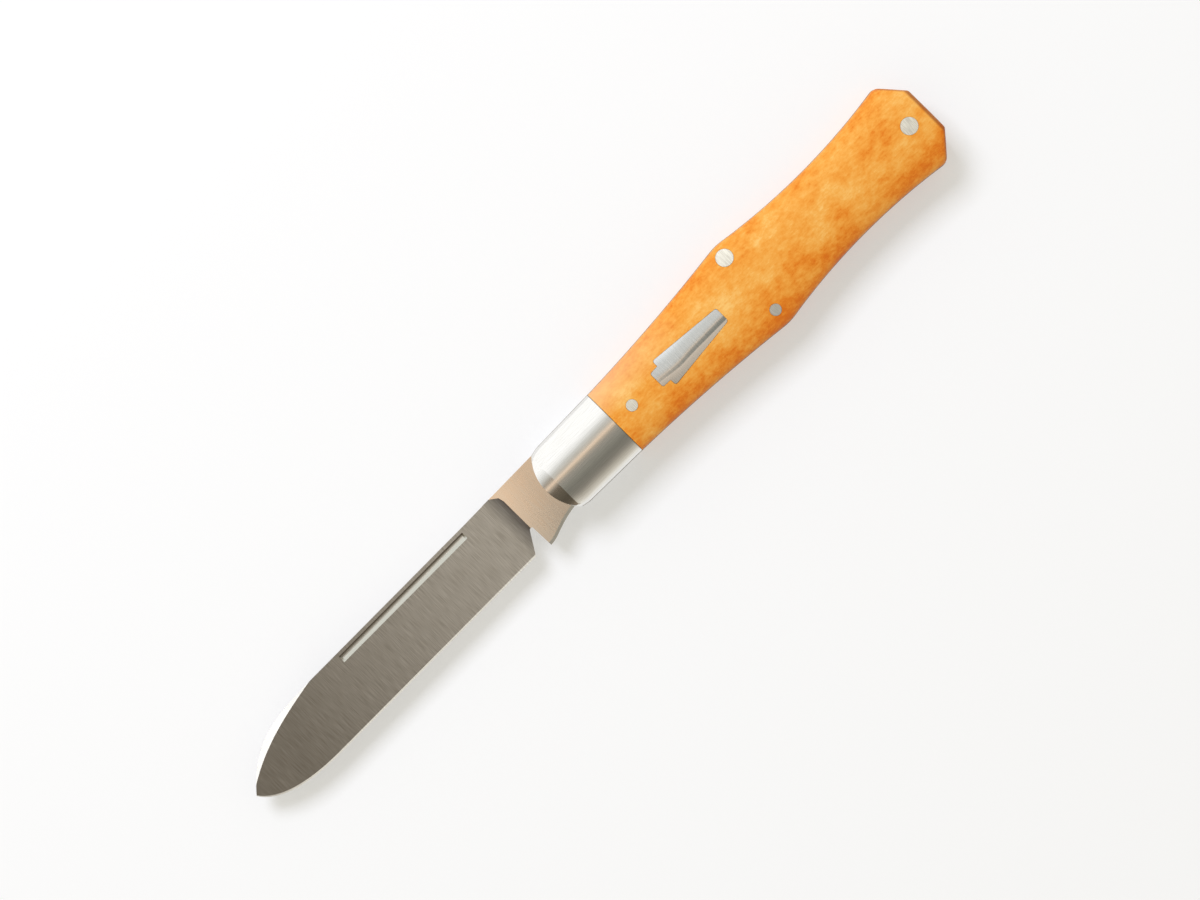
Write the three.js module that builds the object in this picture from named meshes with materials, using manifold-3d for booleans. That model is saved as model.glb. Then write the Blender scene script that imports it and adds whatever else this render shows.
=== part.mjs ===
// Folding pocket knife: a slipjoint with a coffin-shaped butt, shown lying on its rear side, blade open.
// Millimetres. +X runs from the tip to the butt, +Y to the back of the knife, +Z up from the table.
// The origin is on the pivot axis, in the plane that the rear bolster rests on.

import * as THREE from 'three';
import { mergeVertices, toCreasedNormals } from 'three/addons/utils/BufferGeometryUtils.js';
import Module from 'manifold-3d';

const wasm = await Module();
wasm.setup();

// Layers of the knife
const BLADE_THICKNESS = 3.0;
const BLADE_SIDE_PLAY = 0.05;
const LINER_THICKNESS = 1.0;
const COVER_THICKNESS = 3.7; // scale or bolster, from the liner to the crown

// Outline of the handle: places along X from the pivot, half-widths about the handle's centreline
const CENTRELINE_Y = 1.7;
const NOSE_LENGTH = 2.7; // from the side corners of the nose to its middle
const NOSE_CORNER_X = -4.1;
const NOSE_HALF_WIDTH = 6.62;
const NOSE_EASE_X = -2.5; // where the eased corner of the nose has reached the side
const NOSE_EASE_HALF_WIDTH = 6.95;
const NOSE_EASE_RADIUS = 3.0;
const JUNCTION_X = 10.9; // where bolster and scale meet
const JUNCTION_HALF_WIDTH = 7.18;
const SWELL_X = 46.8;
const SWELL_HALF_WIDTH = 9.85;
const FRONT_SWEEP_SAG = 0.42;
const WAIST_SAG = 1.62;
const BUTT_CORNER_X = 87.7;
const BUTT_HALF_WIDTH = 9.65;
const BUTT_X = 91.8;
const BUTT_FLAT_HALF_WIDTH = 4.75;
const SWELL_CORNER_RADIUS = 6.0;
const BUTT_CORNER_RADIUS = 1.2;

// Cross-section of the covers
const CROWN_HALF_WIDTH = 2.4; // flat land along the middle, on which the knife rests
const COVER_EDGE_HEIGHT = 1.2; // upright side wall above the liner
const SHOULDER_POWER = 2.0; // 2 is an elliptical shoulder
const BUTT_EDGE_RADIUS = 0.9;
const BUTT_EDGE_MOST = 0.8; // share of the side wall that the butt's rounding may take

// Nose of the bolster: a bevel from a round upright wall to an almost straight front edge of the crown
const NOSE_BEVEL_RUN = 2.5;
const NOSE_WALL_SHARE = 0.4; // how far the wall goes up from the side wall's height to the crown's
const NOSE_FLATTENING = 0.6; // how much of the nose's curve is gone at crown height

// Blade
const BLADE_SHOULDER_X = -4.2; // where the blade's back meets the front end of the spring
const SPINE_Y = 8.1;
const SPINE_RISE = 0.22; // of the spine towards the shoulder
const SPINE_RISE_X = -22;
const SPINE_DROP = 0.05; // fall of the straight spine towards the swedge
const SWEDGE_START_X = -62.4;
const EDGE_Y = -5.35;
const EDGE_CURVE_X = -67.3;
const TIP_X = -84.3;
const TIP_Y = 0;
const SPINE_HANDLES = [[-71.2, 7.82], [-77.4, 7.9]]; // control points of the spine's fall to the tip
const EDGE_HANDLES = [[-75.6, EDGE_Y], [-81.8, -3.83]]; // and of the edge's rise to it
const SWEDGE_HANDLES = [[-69.0, 6.9], [-76.1, 5.68]];
const SWEDGE_END_FROM_TIP = 1.4;
const SWEDGE_FULL_WIDTH = 0.4; // the swedge has its full depth from this width on
const PLUNGE_X = -13.7;
const PLUNGE_CURVE_Y = 5.9;
const PLUNGE_CURVE_RUN = 1.8;
const PLUNGE_RUN = 1.5;
const PLUNGE_END_MARGIN = 0.5; // from the plunge's foot to the first straight section
const EDGE_BEVEL_WIDTH = 0.32;
const EDGE_BEVEL_THICKNESS = 0.42;
const EDGE_THICKNESS = 0.06;
const SWEDGE_SPINE_THICKNESS = 0.9;
const PULL_START_X = -55.3;
const PULL_END_X = -23.2;
const PULL_UPPER_Y = 7.4;
const PULL_LOWER_Y = 6.1;
const PULL_DEPTH = 0.6;
const PULL_WALL_LEAN = 0.15; // of the upper wall, from its foot to the face
const PULL_RAMP = 1.0; // length of the run-out at each end
const PULL_SKIN = 0.01; // how far above the face the groove's lower edge starts

// Tang
const CAM_HALF_WIDTH = 5.2; // from the pivot axis to each flat of the square end
const CAM_CORNER_RADIUS = 3.0;
const CAM_FOOT_RADIUS = 1.5; // where the square end turns into the relief
const SHOULDER_FOOT_RADIUS = 0.3;
const KICK_X = -13.2;
const KICK_Y = -5.84;
const NOTCH_HEAD_Y = -1.0;
const NOTCH_FRONT_X = -14.05; // corners of the notch's head, towards the tip and towards the tang
const NOTCH_BACK_X = -13.35;
const NOTCH_RADIUS = 0.35;
const HEEL_X = -16.75;
const TANG_RELIEF_X = -4.6;
const TANG_RELIEF_DEPTH = 1.4;
const BELLY_HANDLES = [[-10.9, -5.8], [-9.6, -4.37]]; // control points of the belly, kick to relief
const TANG_CHAMFER = 0.35;
const TANG_CHAMFER_DEPTH = 0.3;

// Spring
const SPRING_GAP = 0.05; // to the tang, which it presses on in use
const SPRING_NOSE_LENGTH = 7.0;
const SPRING_RAMP = 6.0;
const WELL_TOP_OFFSET = 4.3; // underside of the spring, from the handle's centreline
const TIP_ROOM = 1.1; // from the closed blade's tip to the spring's end block
const WELL_END_RADIUS = 5.0;

// Pins
const PIN_PLAY = 0.05;
const SMALL_PIN_RADIUS = 1.1;
const RIVET_SHANK_RADIUS = 1.1;
const RIVET_HEAD_RADIUS = 1.65;
const RIVET_HEAD_SEAT = 1.2; // depth of cover left under the head, above the liner
const PIVOT_RADIUS = 1.25;
const PIVOT_COVERING = 0.6; // bolster metal left over the pivot's ends
const BUSHING_WALL = 0.65;
const HIDDEN_PIN_RADIUS = 1.0;
const HIDDEN_PIN_DEPTH = 1.5; // how far a bolster pin reaches into the bolster
const BOLSTER_PIN_X = 7.5;
const BOLSTER_PIN_SPREAD = 3.2; // from the centreline to each bolster pin
const FRONT_PIN_FROM_JUNCTION = 4.45;
const BELLY_PIN_FROM_SWELL = -0.55;
const BELLY_PIN_OFFSET = -6.33;
const CENTRE_PIN_FROM_SWELL = -0.4;
const CENTRE_PIN_OFFSET = 7.01;
const BUTT_PIN_FROM_CORNER = -0.5;

// Shield: a bare tapered keystone with a stepped tab, measured from the junction
const SHIELD_TAB_END = 10.85;
const SHIELD_TAB_HALF_WIDTH = 1.6;
const SHIELD_STEP_FROM = 12.7;
const SHIELD_STEP_HALF_WIDTH = 1.75;
const SHIELD_SHOULDER_FROM = 13.08;
const SHIELD_SHOULDER_HALF_WIDTH = 3.03;
const SHIELD_END_FROM = 27.8;
const SHIELD_END_HALF_WIDTH = 1.55;
const SHIELD_THICKNESS = 1.3;
const SHIELD_CORNER_RADIUS = 0.5;
const SHIELD_PLAY = 0.04;
const SHIELD_PIN_RADIUS = 0.75;
const SHIELD_PIN_MARGIN = 3.2; // from each end of the shield to its pin

// Worked out from the values above
const SPRING_THICKNESS = BLADE_THICKNESS + 2 * BLADE_SIDE_PLAY;
const LINER_Z = SPRING_THICKNESS / 2; // inner face of a liner, from the middle plane
const COVER_Z = LINER_Z + LINER_THICKNESS;
const CROWN_Z = COVER_Z + COVER_THICKNESS;
const BLADE_Z = BLADE_THICKNESS / 2;
const NOSE_X = NOSE_CORNER_X - NOSE_LENGTH;
const NOSE_RADIUS = (NOSE_HALF_WIDTH ** 2 + NOSE_LENGTH ** 2) / (2 * NOSE_LENGTH);
const SPRING_FRONT_X = BLADE_SHOULDER_X + 2 * SPRING_GAP;
const SPRING_END_BLOCK_X = TIP_ROOM - TIP_X;
const WELL_TOP_Y = CENTRELINE_Y + WELL_TOP_OFFSET;
const BEYOND = 2; // how far cutters reach past what they cut
const UNDER = 0.8; // how far a cover starts below the liner's face, before it is cut flat
const ROUND_STEPS = 4;
const CURVE_STEPS = 28;
const PIN_SIDES = 32;
const NEAR = 0.03; // sections closer together than this count as one

const PINS = {
  pivot: new THREE.Vector2(0, 0),
  bolsterEnd: new THREE.Vector2(JUNCTION_X + FRONT_PIN_FROM_JUNCTION, CENTRELINE_Y),
  belly: new THREE.Vector2(SWELL_X + BELLY_PIN_FROM_SWELL, CENTRELINE_Y + BELLY_PIN_OFFSET),
  centre: new THREE.Vector2(SWELL_X + CENTRE_PIN_FROM_SWELL, CENTRELINE_Y + CENTRE_PIN_OFFSET),
  butt: new THREE.Vector2(BUTT_CORNER_X + BUTT_PIN_FROM_CORNER, CENTRELINE_Y),
  bolster: [1, -1].map((side) => new THREE.Vector2(BOLSTER_PIN_X, CENTRELINE_Y + side * BOLSTER_PIN_SPREAD)),
  shield: [
    new THREE.Vector2(JUNCTION_X + SHIELD_TAB_END + SHIELD_PIN_MARGIN, CENTRELINE_Y),
    new THREE.Vector2(JUNCTION_X + SHIELD_END_FROM - SHIELD_PIN_MARGIN, CENTRELINE_Y),
  ],
};

// Solids from geometries, and back

function solidOf(geometry) {
  const bare = geometry.clone();
  for (const name of ['normal', 'uv']) {
    bare.deleteAttribute(name);
  }
  const merged = mergeVertices(bare, 1e-4);
  const index = merged.index.array;
  const triangles = [];
  for (let i = 0; i < index.length; i += 3) {
    const [a, b, c] = [index[i], index[i + 1], index[i + 2]];
    if (a !== b && b !== c && c !== a) {
      triangles.push(a, b, c);
    }
  }
  return new wasm.Manifold(new wasm.Mesh({
    numProp: 3,
    vertProperties: new Float32Array(merged.attributes.position.array),
    triVerts: new Uint32Array(triangles),
  }));
}

function geometryOf(solid) {
  const mesh = solid.getMesh();
  const geometry = new THREE.BufferGeometry();
  geometry.setAttribute('position', new THREE.BufferAttribute(new Float32Array(mesh.vertProperties), 3));
  geometry.setIndex(new THREE.BufferAttribute(new Uint32Array(mesh.triVerts), 1));
  return toCreasedNormals(geometry, THREE.MathUtils.degToRad(35));
}

function cut(solid, cutters) {
  return cutters.reduce((left, cutter) => left.subtract(cutter), solid);
}

function mirrored(solid) {
  return solid.mirror([0, 0, 1]);
}

// A round rod along Z
function rod(place, radius, from, to) {
  const geometry = new THREE.CylinderGeometry(radius, radius, to - from, PIN_SIDES);
  geometry.rotateX(Math.PI / 2);
  geometry.translate(place.x, place.y, (from + to) / 2);
  return solidOf(geometry);
}

// A flat plate between two heights, from a plan outline
function plate(outline, from, to) {
  const settings = { depth: to - from, bevelEnabled: false };
  const geometry = new THREE.ExtrudeGeometry(new THREE.Shape(outline), settings);
  geometry.translate(0, 0, from);
  return solidOf(geometry);
}

// A closed body between two grids of points, upper over lower, with the same rows and columns
function bodyBetween(upper, lower) {
  const rows = upper.length;
  const columns = upper[0].length;
  const points = [...upper.flat(), ...lower.flat()];
  const at = (layer, row, column) => layer * rows * columns + row * columns + column;
  const index = [];
  const quad = (a, b, c, d) => index.push(a, b, c, a, c, d);
  for (let r = 0; r < rows - 1; r += 1) {
    for (let c = 0; c < columns - 1; c += 1) {
      quad(at(0, r, c), at(0, r + 1, c), at(0, r + 1, c + 1), at(0, r, c + 1));
      quad(at(1, r, c), at(1, r, c + 1), at(1, r + 1, c + 1), at(1, r + 1, c));
    }
    quad(at(0, r, 0), at(1, r, 0), at(1, r + 1, 0), at(0, r + 1, 0));
    quad(at(0, r + 1, columns - 1), at(1, r + 1, columns - 1), at(1, r, columns - 1), at(0, r, columns - 1));
  }
  for (let c = 0; c < columns - 1; c += 1) {
    quad(at(0, 0, c), at(0, 0, c + 1), at(1, 0, c + 1), at(1, 0, c));
    quad(at(0, rows - 1, c + 1), at(0, rows - 1, c), at(1, rows - 1, c), at(1, rows - 1, c + 1));
  }
  const geometry = new THREE.BufferGeometry().setFromPoints(points);
  geometry.setIndex(index);
  return solidOf(geometry);
}

// Lines in plan

// Points from a to b on an arc whose middle lies sag below the chord, both ends included
function sagArc(a, b, sag, steps) {
  const chord = b.distanceTo(a);
  const radius = (chord ** 2 / 4 + sag ** 2) / (2 * sag);
  const middle = a.clone().add(b).multiplyScalar(0.5);
  const across = new THREE.Vector2(-(b.y - a.y), b.x - a.x).divideScalar(chord);
  const centre = middle.addScaledVector(across, radius - sag);
  const start = Math.atan2(a.y - centre.y, a.x - centre.x);
  const sweep = 2 * Math.asin(chord / 2 / radius);
  return Array.from({ length: steps + 1 }, (_, i) => {
    const angle = start + (sweep * i) / steps;
    return new THREE.Vector2(centre.x + radius * Math.cos(angle), centre.y + radius * Math.sin(angle));
  });
}

// The open line with each corner that has a radius r rounded off
function rounded(line) {
  const out = [];
  line.forEach((corner, i) => {
    if (!corner.r || i === 0 || i === line.length - 1) {
      out.push(new THREE.Vector2(corner.x, corner.y));
      return;
    }
    const before = new THREE.Vector2(line[i - 1].x - corner.x, line[i - 1].y - corner.y);
    const after = new THREE.Vector2(line[i + 1].x - corner.x, line[i + 1].y - corner.y);
    const turn = Math.PI - Math.abs(before.angleTo(after));
    const reach = Math.min(corner.r * Math.tan(turn / 2), 0.45 * before.length(), 0.45 * after.length());
    const vertex = new THREE.Vector2(corner.x, corner.y);
    const start = vertex.clone().addScaledVector(before.normalize(), reach);
    const end = vertex.clone().addScaledVector(after.normalize(), reach);
    out.push(...new THREE.QuadraticBezierCurve(start, vertex, end).getPoints(ROUND_STEPS));
  });
  return out;
}

function closedRounded(corners) {
  const last = corners[corners.length - 1];
  const line = rounded([last, ...corners, corners[0]]);
  return line.slice(1, -1);
}

// The height of a line at x, where the line's points run one way along X
function heightOn(line, x) {
  const rising = line[0].x < line[line.length - 1].x;
  const points = rising ? line : [...line].reverse();
  if (x <= points[0].x) {
    return points[0].y;
  }
  for (let i = 1; i < points.length; i += 1) {
    if (x <= points[i].x) {
      const share = (x - points[i - 1].x) / (points[i].x - points[i - 1].x || 1);
      return THREE.MathUtils.lerp(points[i - 1].y, points[i].y, share);
    }
  }
  return points[points.length - 1].y;
}

// Outline of the handle

const swell = new THREE.Vector2(SWELL_X, SWELL_HALF_WIDTH);
const buttCorner = new THREE.Vector2(BUTT_CORNER_X, BUTT_HALF_WIDTH);
const frontSweep = sagArc(new THREE.Vector2(JUNCTION_X, JUNCTION_HALF_WIDTH), swell, FRONT_SWEEP_SAG, 7);
const waist = sagArc(swell, buttCorner, WAIST_SAG, 10);

// Half-width along the handle, from the nose's corner to the middle of the butt
const sideLine = rounded([
  new THREE.Vector2(NOSE_CORNER_X, NOSE_HALF_WIDTH),
  { x: NOSE_EASE_X, y: NOSE_EASE_HALF_WIDTH, r: NOSE_EASE_RADIUS },
  ...frontSweep.slice(0, -1),
  { x: swell.x, y: swell.y, r: SWELL_CORNER_RADIUS },
  ...waist.slice(1, -1),
  { x: buttCorner.x, y: buttCorner.y, r: BUTT_CORNER_RADIUS },
  { x: BUTT_X, y: BUTT_FLAT_HALF_WIDTH, r: BUTT_CORNER_RADIUS },
  { x: BUTT_X, y: 0 },
]).slice(0, -1);

const halfWidthAt = (x) => heightOn(sideLine, x);

// X of the nose's front at a distance from the centreline: a round wall, then a bevel with a flatter bow
function noseFront(offset, height) {
  const share = Math.max(0, height - COVER_EDGE_HEIGHT) / (COVER_THICKNESS - COVER_EDGE_HEIGHT);
  const radius = NOSE_RADIUS / (1 - NOSE_FLATTENING * share);
  const bow = radius - Math.sqrt(radius ** 2 - offset ** 2);
  return NOSE_X + NOSE_BEVEL_RUN * share + bow;
}

const COLUMNS = 16;
const acrossShares = Array.from({ length: COLUMNS + 1 }, (_, i) => Math.sin(Math.PI * (i / COLUMNS - 0.5)));

function handleOutline() {
  const back = sideLine.map((p) => new THREE.Vector2(p.x, CENTRELINE_Y + p.y));
  const belly = sideLine.map((p) => new THREE.Vector2(p.x, CENTRELINE_Y - p.y)).reverse();
  const nose = acrossShares.slice(1, -1).map((share) => {
    const offset = share * NOSE_HALF_WIDTH;
    return new THREE.Vector2(noseFront(offset, 0), CENTRELINE_Y + offset);
  });
  return [...nose, ...back, ...belly];
}

// Covers: the domed bolster and scale, as one surface over the liner

// Distance in plan from a point of the butt to its nearest end face
function distanceToButt(x, offset) {
  const run = BUTT_X - BUTT_CORNER_X;
  const rise = BUTT_HALF_WIDTH - BUTT_FLAT_HALF_WIDTH;
  const chamfer = ((BUTT_X - x) * rise + (BUTT_FLAT_HALF_WIDTH - offset) * run) / Math.hypot(run, rise);
  return Math.max(0, Math.min(BUTT_X - x, chamfer));
}

// Height of the cover above the liner, at a place along the handle and a distance from the centreline
function coverHeight(x, offset) {
  const width = x > BUTT_CORNER_X ? BUTT_HALF_WIDTH : halfWidthAt(x);
  const share = THREE.MathUtils.clamp((offset - CROWN_HALF_WIDTH) / (width - CROWN_HALF_WIDTH), 0, 1);
  const shoulder = (1 - share ** SHOULDER_POWER) ** (1 / SHOULDER_POWER);
  const dome = COVER_EDGE_HEIGHT + (COVER_THICKNESS - COVER_EDGE_HEIGHT) * shoulder;
  const radius = Math.min(BUTT_EDGE_RADIUS, BUTT_EDGE_MOST * COVER_EDGE_HEIGHT);
  const inside = radius - Math.min(radius, distanceToButt(x, offset));
  return dome - radius + Math.sqrt(radius ** 2 - inside ** 2);
}

// Columns across a cover: evenly turned over each shoulder, with the crown's edges and more on the crown
function acrossAt(width, onCrown = []) {
  const shoulder = Array.from({ length: COLUMNS / 2 }, (_, i) => {
    const share = Math.sin((Math.PI / 2) * ((i + 1) / (COLUMNS / 2)));
    return THREE.MathUtils.lerp(CROWN_HALF_WIDTH, width, share);
  });
  const crown = [-1, ...onCrown, 1].map((share) => share * CROWN_HALF_WIDTH);
  return [...shoulder.map((y) => -y).reverse(), ...crown, ...shoulder];
}

// The body without what lies below the liner's outer face
function flatOnLiner(body) {
  const reach = 2 * BUTT_X;
  const corners = [[-reach, -reach], [reach, -reach], [reach, reach], [-reach, reach]];
  const below = plate(corners.map(([x, y]) => new THREE.Vector2(x, y)), COVER_Z - 2 * UNDER, COVER_Z);
  return body.subtract(below);
}

// The front of the bolster's crown is drawn from the round nose, each section behind it less and less so
function bolsterBody() {
  const steps = 6;
  const behindEase = Array.from({ length: steps + 1 }, (_, i) => (
    THREE.MathUtils.lerp(NOSE_EASE_X, JUNCTION_X, i / steps)
  ));
  const columns = (width) => acrossAt(width, [-0.5, 0, 0.5]);
  const wall = columns(NOSE_HALF_WIDTH).map((y) => {
    const dome = coverHeight(NOSE_CORNER_X, Math.abs(y));
    const top = THREE.MathUtils.lerp(COVER_EDGE_HEIGHT, dome, NOSE_WALL_SHARE);
    return new THREE.Vector3(noseFront(y, 0), CENTRELINE_Y + y, COVER_Z + top);
  });
  const dome = [NOSE_CORNER_X, ...behindEase].map((nearX) => {
    const width = halfWidthAt(nearX);
    const share = (nearX - NOSE_CORNER_X) / (JUNCTION_X - NOSE_CORNER_X);
    return columns(width).map((y) => {
      const height = coverHeight(nearX, Math.abs(y));
      const front = noseFront((y * NOSE_HALF_WIDTH) / width, height);
      const x = THREE.MathUtils.lerp(front, JUNCTION_X, share);
      return new THREE.Vector3(x, CENTRELINE_Y + y, COVER_Z + height);
    });
  });
  const upper = [wall, ...dome];
  const lower = upper.map((row) => row.map((p) => new THREE.Vector3(p.x, p.y, COVER_Z - UNDER)));
  return flatOnLiner(bodyBetween(upper, lower));
}

function scaleBody() {
  const chamferSteps = 5;
  const chamfer = Array.from({ length: chamferSteps }, (_, i) => (
    THREE.MathUtils.lerp(BUTT_CORNER_X, BUTT_X, (i + 1) / (chamferSteps + 1))
  ));
  const endRound = Array.from({ length: ROUND_STEPS }, (_, i) => (
    BUTT_X - BUTT_EDGE_RADIUS * (1 - Math.sin((Math.PI / 2) * (i / ROUND_STEPS)))
  ));
  const onSides = sideLine.map((p) => p.x).filter((x) => x > JUNCTION_X + NEAR);
  const places = [JUNCTION_X, ...onSides, ...chamfer, ...endRound];
  const stations = places.sort((a, b) => a - b).filter((x, i, all) => i === 0 || x - all[i - 1] > NEAR);
  stations[stations.length - 1] = BUTT_X;
  const endWidth = sideLine[sideLine.length - 1].y;
  const grid = (heightOf) => stations.map((x) => {
    const width = x === BUTT_X ? endWidth : halfWidthAt(x);
    return acrossAt(width).map((y) => {
      const z = COVER_Z + heightOf(x, Math.abs(y));
      return new THREE.Vector3(x, CENTRELINE_Y + y, z);
    });
  });
  return flatOnLiner(bodyBetween(grid(coverHeight), grid(() => -UNDER)));
}

const bareBolster = bolsterBody();
const bareScale = scaleBody();
const bareCore = plate(handleOutline(), -COVER_Z, COVER_Z);
const bareHandle = [bareBolster, bareScale, mirrored(bareBolster), mirrored(bareScale)].reduce(
  (whole, cover) => whole.add(cover),
  bareCore,
);

// Shield

function shieldOutline(play) {
  const half = [
    [SHIELD_END_FROM + play, SHIELD_END_HALF_WIDTH + play],
    [SHIELD_SHOULDER_FROM - play, SHIELD_SHOULDER_HALF_WIDTH + play],
    [SHIELD_STEP_FROM - play, SHIELD_STEP_HALF_WIDTH + play],
    [SHIELD_TAB_END - play, SHIELD_TAB_HALF_WIDTH + play],
  ];
  const corner = ([from, y]) => ({ x: JUNCTION_X + from, y: CENTRELINE_Y + y, r: SHIELD_CORNER_RADIUS });
  const back = half.map(corner);
  const belly = half.map(([from, y]) => corner([from, -y])).reverse();
  return closedRounded([...back, ...belly]);
}

const SHIELD_FLOOR_Z = CROWN_Z - SHIELD_THICKNESS;

function shieldSolid() {
  return plate(shieldOutline(0), SHIELD_FLOOR_Z, CROWN_Z + BEYOND).intersect(bareHandle);
}

// Pins

// A short pin through liner and cover, cut flush with the cover
function smallPin(place) {
  return rod(place, SMALL_PIN_RADIUS, LINER_Z, CROWN_Z + BEYOND).intersect(bareHandle);
}

// A rivet through the whole handle, with a head at each end, cut flush with the covers
function rivet(place) {
  const seat = COVER_Z + RIVET_HEAD_SEAT;
  const profile = [
    [0, -CROWN_Z - BEYOND],
    [RIVET_HEAD_RADIUS, -CROWN_Z - BEYOND],
    [RIVET_HEAD_RADIUS, -seat],
    [RIVET_SHANK_RADIUS, -seat],
    [RIVET_SHANK_RADIUS, seat],
    [RIVET_HEAD_RADIUS, seat],
    [RIVET_HEAD_RADIUS, CROWN_Z + BEYOND],
    [0, CROWN_Z + BEYOND],
  ].map(([x, y]) => new THREE.Vector2(x, y));
  const geometry = new THREE.LatheGeometry(profile, PIN_SIDES);
  geometry.rotateX(Math.PI / 2);
  geometry.translate(place.x, place.y, 0);
  return solidOf(geometry).intersect(bareHandle);
}

// Room for a rivet in the front cover
function rivetRoom(place) {
  const shank = rod(place, RIVET_SHANK_RADIUS + PIN_PLAY, COVER_Z - BEYOND, CROWN_Z);
  const head = rod(place, RIVET_HEAD_RADIUS + PIN_PLAY, COVER_Z + RIVET_HEAD_SEAT, CROWN_Z + BEYOND);
  return shank.add(head);
}

const PIVOT_END_Z = CROWN_Z - PIVOT_COVERING;
const BUSHING_INNER_RADIUS = PIVOT_RADIUS + PIN_PLAY;
const BUSHING_OUTER_RADIUS = BUSHING_INNER_RADIUS + BUSHING_WALL;

function bushingSolid() {
  const around = rod(PINS.pivot, BUSHING_OUTER_RADIUS, -LINER_Z, LINER_Z);
  return around.subtract(rod(PINS.pivot, BUSHING_INNER_RADIUS, -CROWN_Z, CROWN_Z));
}

// Front halves of the handle; the rear ones mirror them

function linerSolid() {
  const hole = (place, radius) => rod(place, radius + PIN_PLAY, 0, COVER_Z + BEYOND);
  return cut(plate(handleOutline(), LINER_Z, COVER_Z), [
    hole(PINS.pivot, PIVOT_RADIUS),
    hole(PINS.bolsterEnd, SMALL_PIN_RADIUS),
    hole(PINS.belly, SMALL_PIN_RADIUS),
    hole(PINS.centre, RIVET_SHANK_RADIUS),
    hole(PINS.butt, RIVET_SHANK_RADIUS),
    ...PINS.bolster.map((place) => hole(place, HIDDEN_PIN_RADIUS)),
  ]);
}

function bolsterSolid() {
  return cut(bareBolster, [
    rod(PINS.pivot, PIVOT_RADIUS + PIN_PLAY, 0, PIVOT_END_Z + PIN_PLAY),
    ...PINS.bolster.map((place) => (
      rod(place, HIDDEN_PIN_RADIUS + PIN_PLAY, 0, COVER_Z + HIDDEN_PIN_DEPTH + PIN_PLAY)
    )),
  ]);
}

function scaleSolid() {
  return cut(bareScale, [
    rod(PINS.bolsterEnd, SMALL_PIN_RADIUS + PIN_PLAY, 0, CROWN_Z + BEYOND),
    rod(PINS.belly, SMALL_PIN_RADIUS + PIN_PLAY, 0, CROWN_Z + BEYOND),
    rivetRoom(PINS.centre),
    rivetRoom(PINS.butt),
  ]);
}

function frontScaleSolid() {
  return cut(scaleSolid(), [
    plate(shieldOutline(SHIELD_PLAY), SHIELD_FLOOR_Z, CROWN_Z + BEYOND),
    ...PINS.shield.map((place) => rod(place, SHIELD_PIN_RADIUS + PIN_PLAY, 0, CROWN_Z)),
  ]);
}

// Spring: flush with the handle's back, over the tang in front and solid around the butt pin

function springSolid() {
  const noseY = CAM_HALF_WIDTH + SPRING_GAP;
  const rampX = SPRING_FRONT_X + SPRING_NOSE_LENGTH;
  const back = sideLine.filter((p) => p.x > SPRING_FRONT_X);
  const top = [
    new THREE.Vector2(SPRING_FRONT_X, CENTRELINE_Y + halfWidthAt(SPRING_FRONT_X)),
    ...back.map((p) => new THREE.Vector2(p.x, CENTRELINE_Y + p.y)),
  ];
  const belly = back
    .filter((p) => p.x > SPRING_END_BLOCK_X)
    .map((p) => new THREE.Vector2(p.x, CENTRELINE_Y - p.y))
    .reverse();
  const well = rounded([
    { x: SPRING_END_BLOCK_X, y: CENTRELINE_Y - halfWidthAt(SPRING_END_BLOCK_X) },
    { x: SPRING_END_BLOCK_X, y: WELL_TOP_Y, r: WELL_END_RADIUS },
    { x: rampX + SPRING_RAMP, y: WELL_TOP_Y, r: SPRING_RAMP },
    { x: rampX, y: noseY, r: SPRING_RAMP },
    { x: SPRING_FRONT_X, y: noseY },
  ]);
  return cut(plate([...top, ...belly, ...well], -LINER_Z, LINER_Z), [
    rod(PINS.centre, RIVET_SHANK_RADIUS + PIN_PLAY, -COVER_Z, COVER_Z),
    rod(PINS.butt, RIVET_SHANK_RADIUS + PIN_PLAY, -COVER_Z, COVER_Z),
  ]);
}

// Blade

// A curve between two points, with two control points
function curve(from, handles, to, steps) {
  const [a, b, c, d] = [from, ...handles, to].map(([x, y]) => new THREE.Vector2(x, y));
  return new THREE.CubicBezierCurve(a, b, c, d).getPoints(steps);
}

const SPINE_END = [SWEDGE_START_X, SPINE_Y - SPINE_DROP];

const spineLine = [
  new THREE.Vector2(BLADE_SHOULDER_X, SPINE_Y + SPINE_RISE),
  new THREE.Vector2(SPINE_RISE_X, SPINE_Y),
  ...curve(SPINE_END, SPINE_HANDLES, [TIP_X, TIP_Y + EDGE_THICKNESS], CURVE_STEPS),
];

const edgeLine = [
  new THREE.Vector2(0, EDGE_Y),
  ...curve([EDGE_CURVE_X, EDGE_Y], EDGE_HANDLES, [TIP_X, TIP_Y - EDGE_THICKNESS], CURVE_STEPS),
];

const SWEDGE_END_X = TIP_X + SWEDGE_END_FROM_TIP;
const SWEDGE_END = [SWEDGE_END_X, heightOn(spineLine, SWEDGE_END_X)];
const swedgeLine = curve(SPINE_END, SWEDGE_HANDLES, SWEDGE_END, CURVE_STEPS);

// Half-thickness of the ground blade at a distance above its edge
function grindAt(x, aboveEdge) {
  const edge = EDGE_THICKNESS / 2;
  const shoulder = EDGE_BEVEL_THICKNESS / 2;
  if (aboveEdge < EDGE_BEVEL_WIDTH) {
    return THREE.MathUtils.lerp(edge, shoulder, aboveEdge / EDGE_BEVEL_WIDTH);
  }
  const height = SPINE_Y - EDGE_Y;
  const share = (aboveEdge - EDGE_BEVEL_WIDTH) / (height - EDGE_BEVEL_WIDTH);
  return THREE.MathUtils.lerp(shoulder, BLADE_Z, Math.min(1, share));
}

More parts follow.
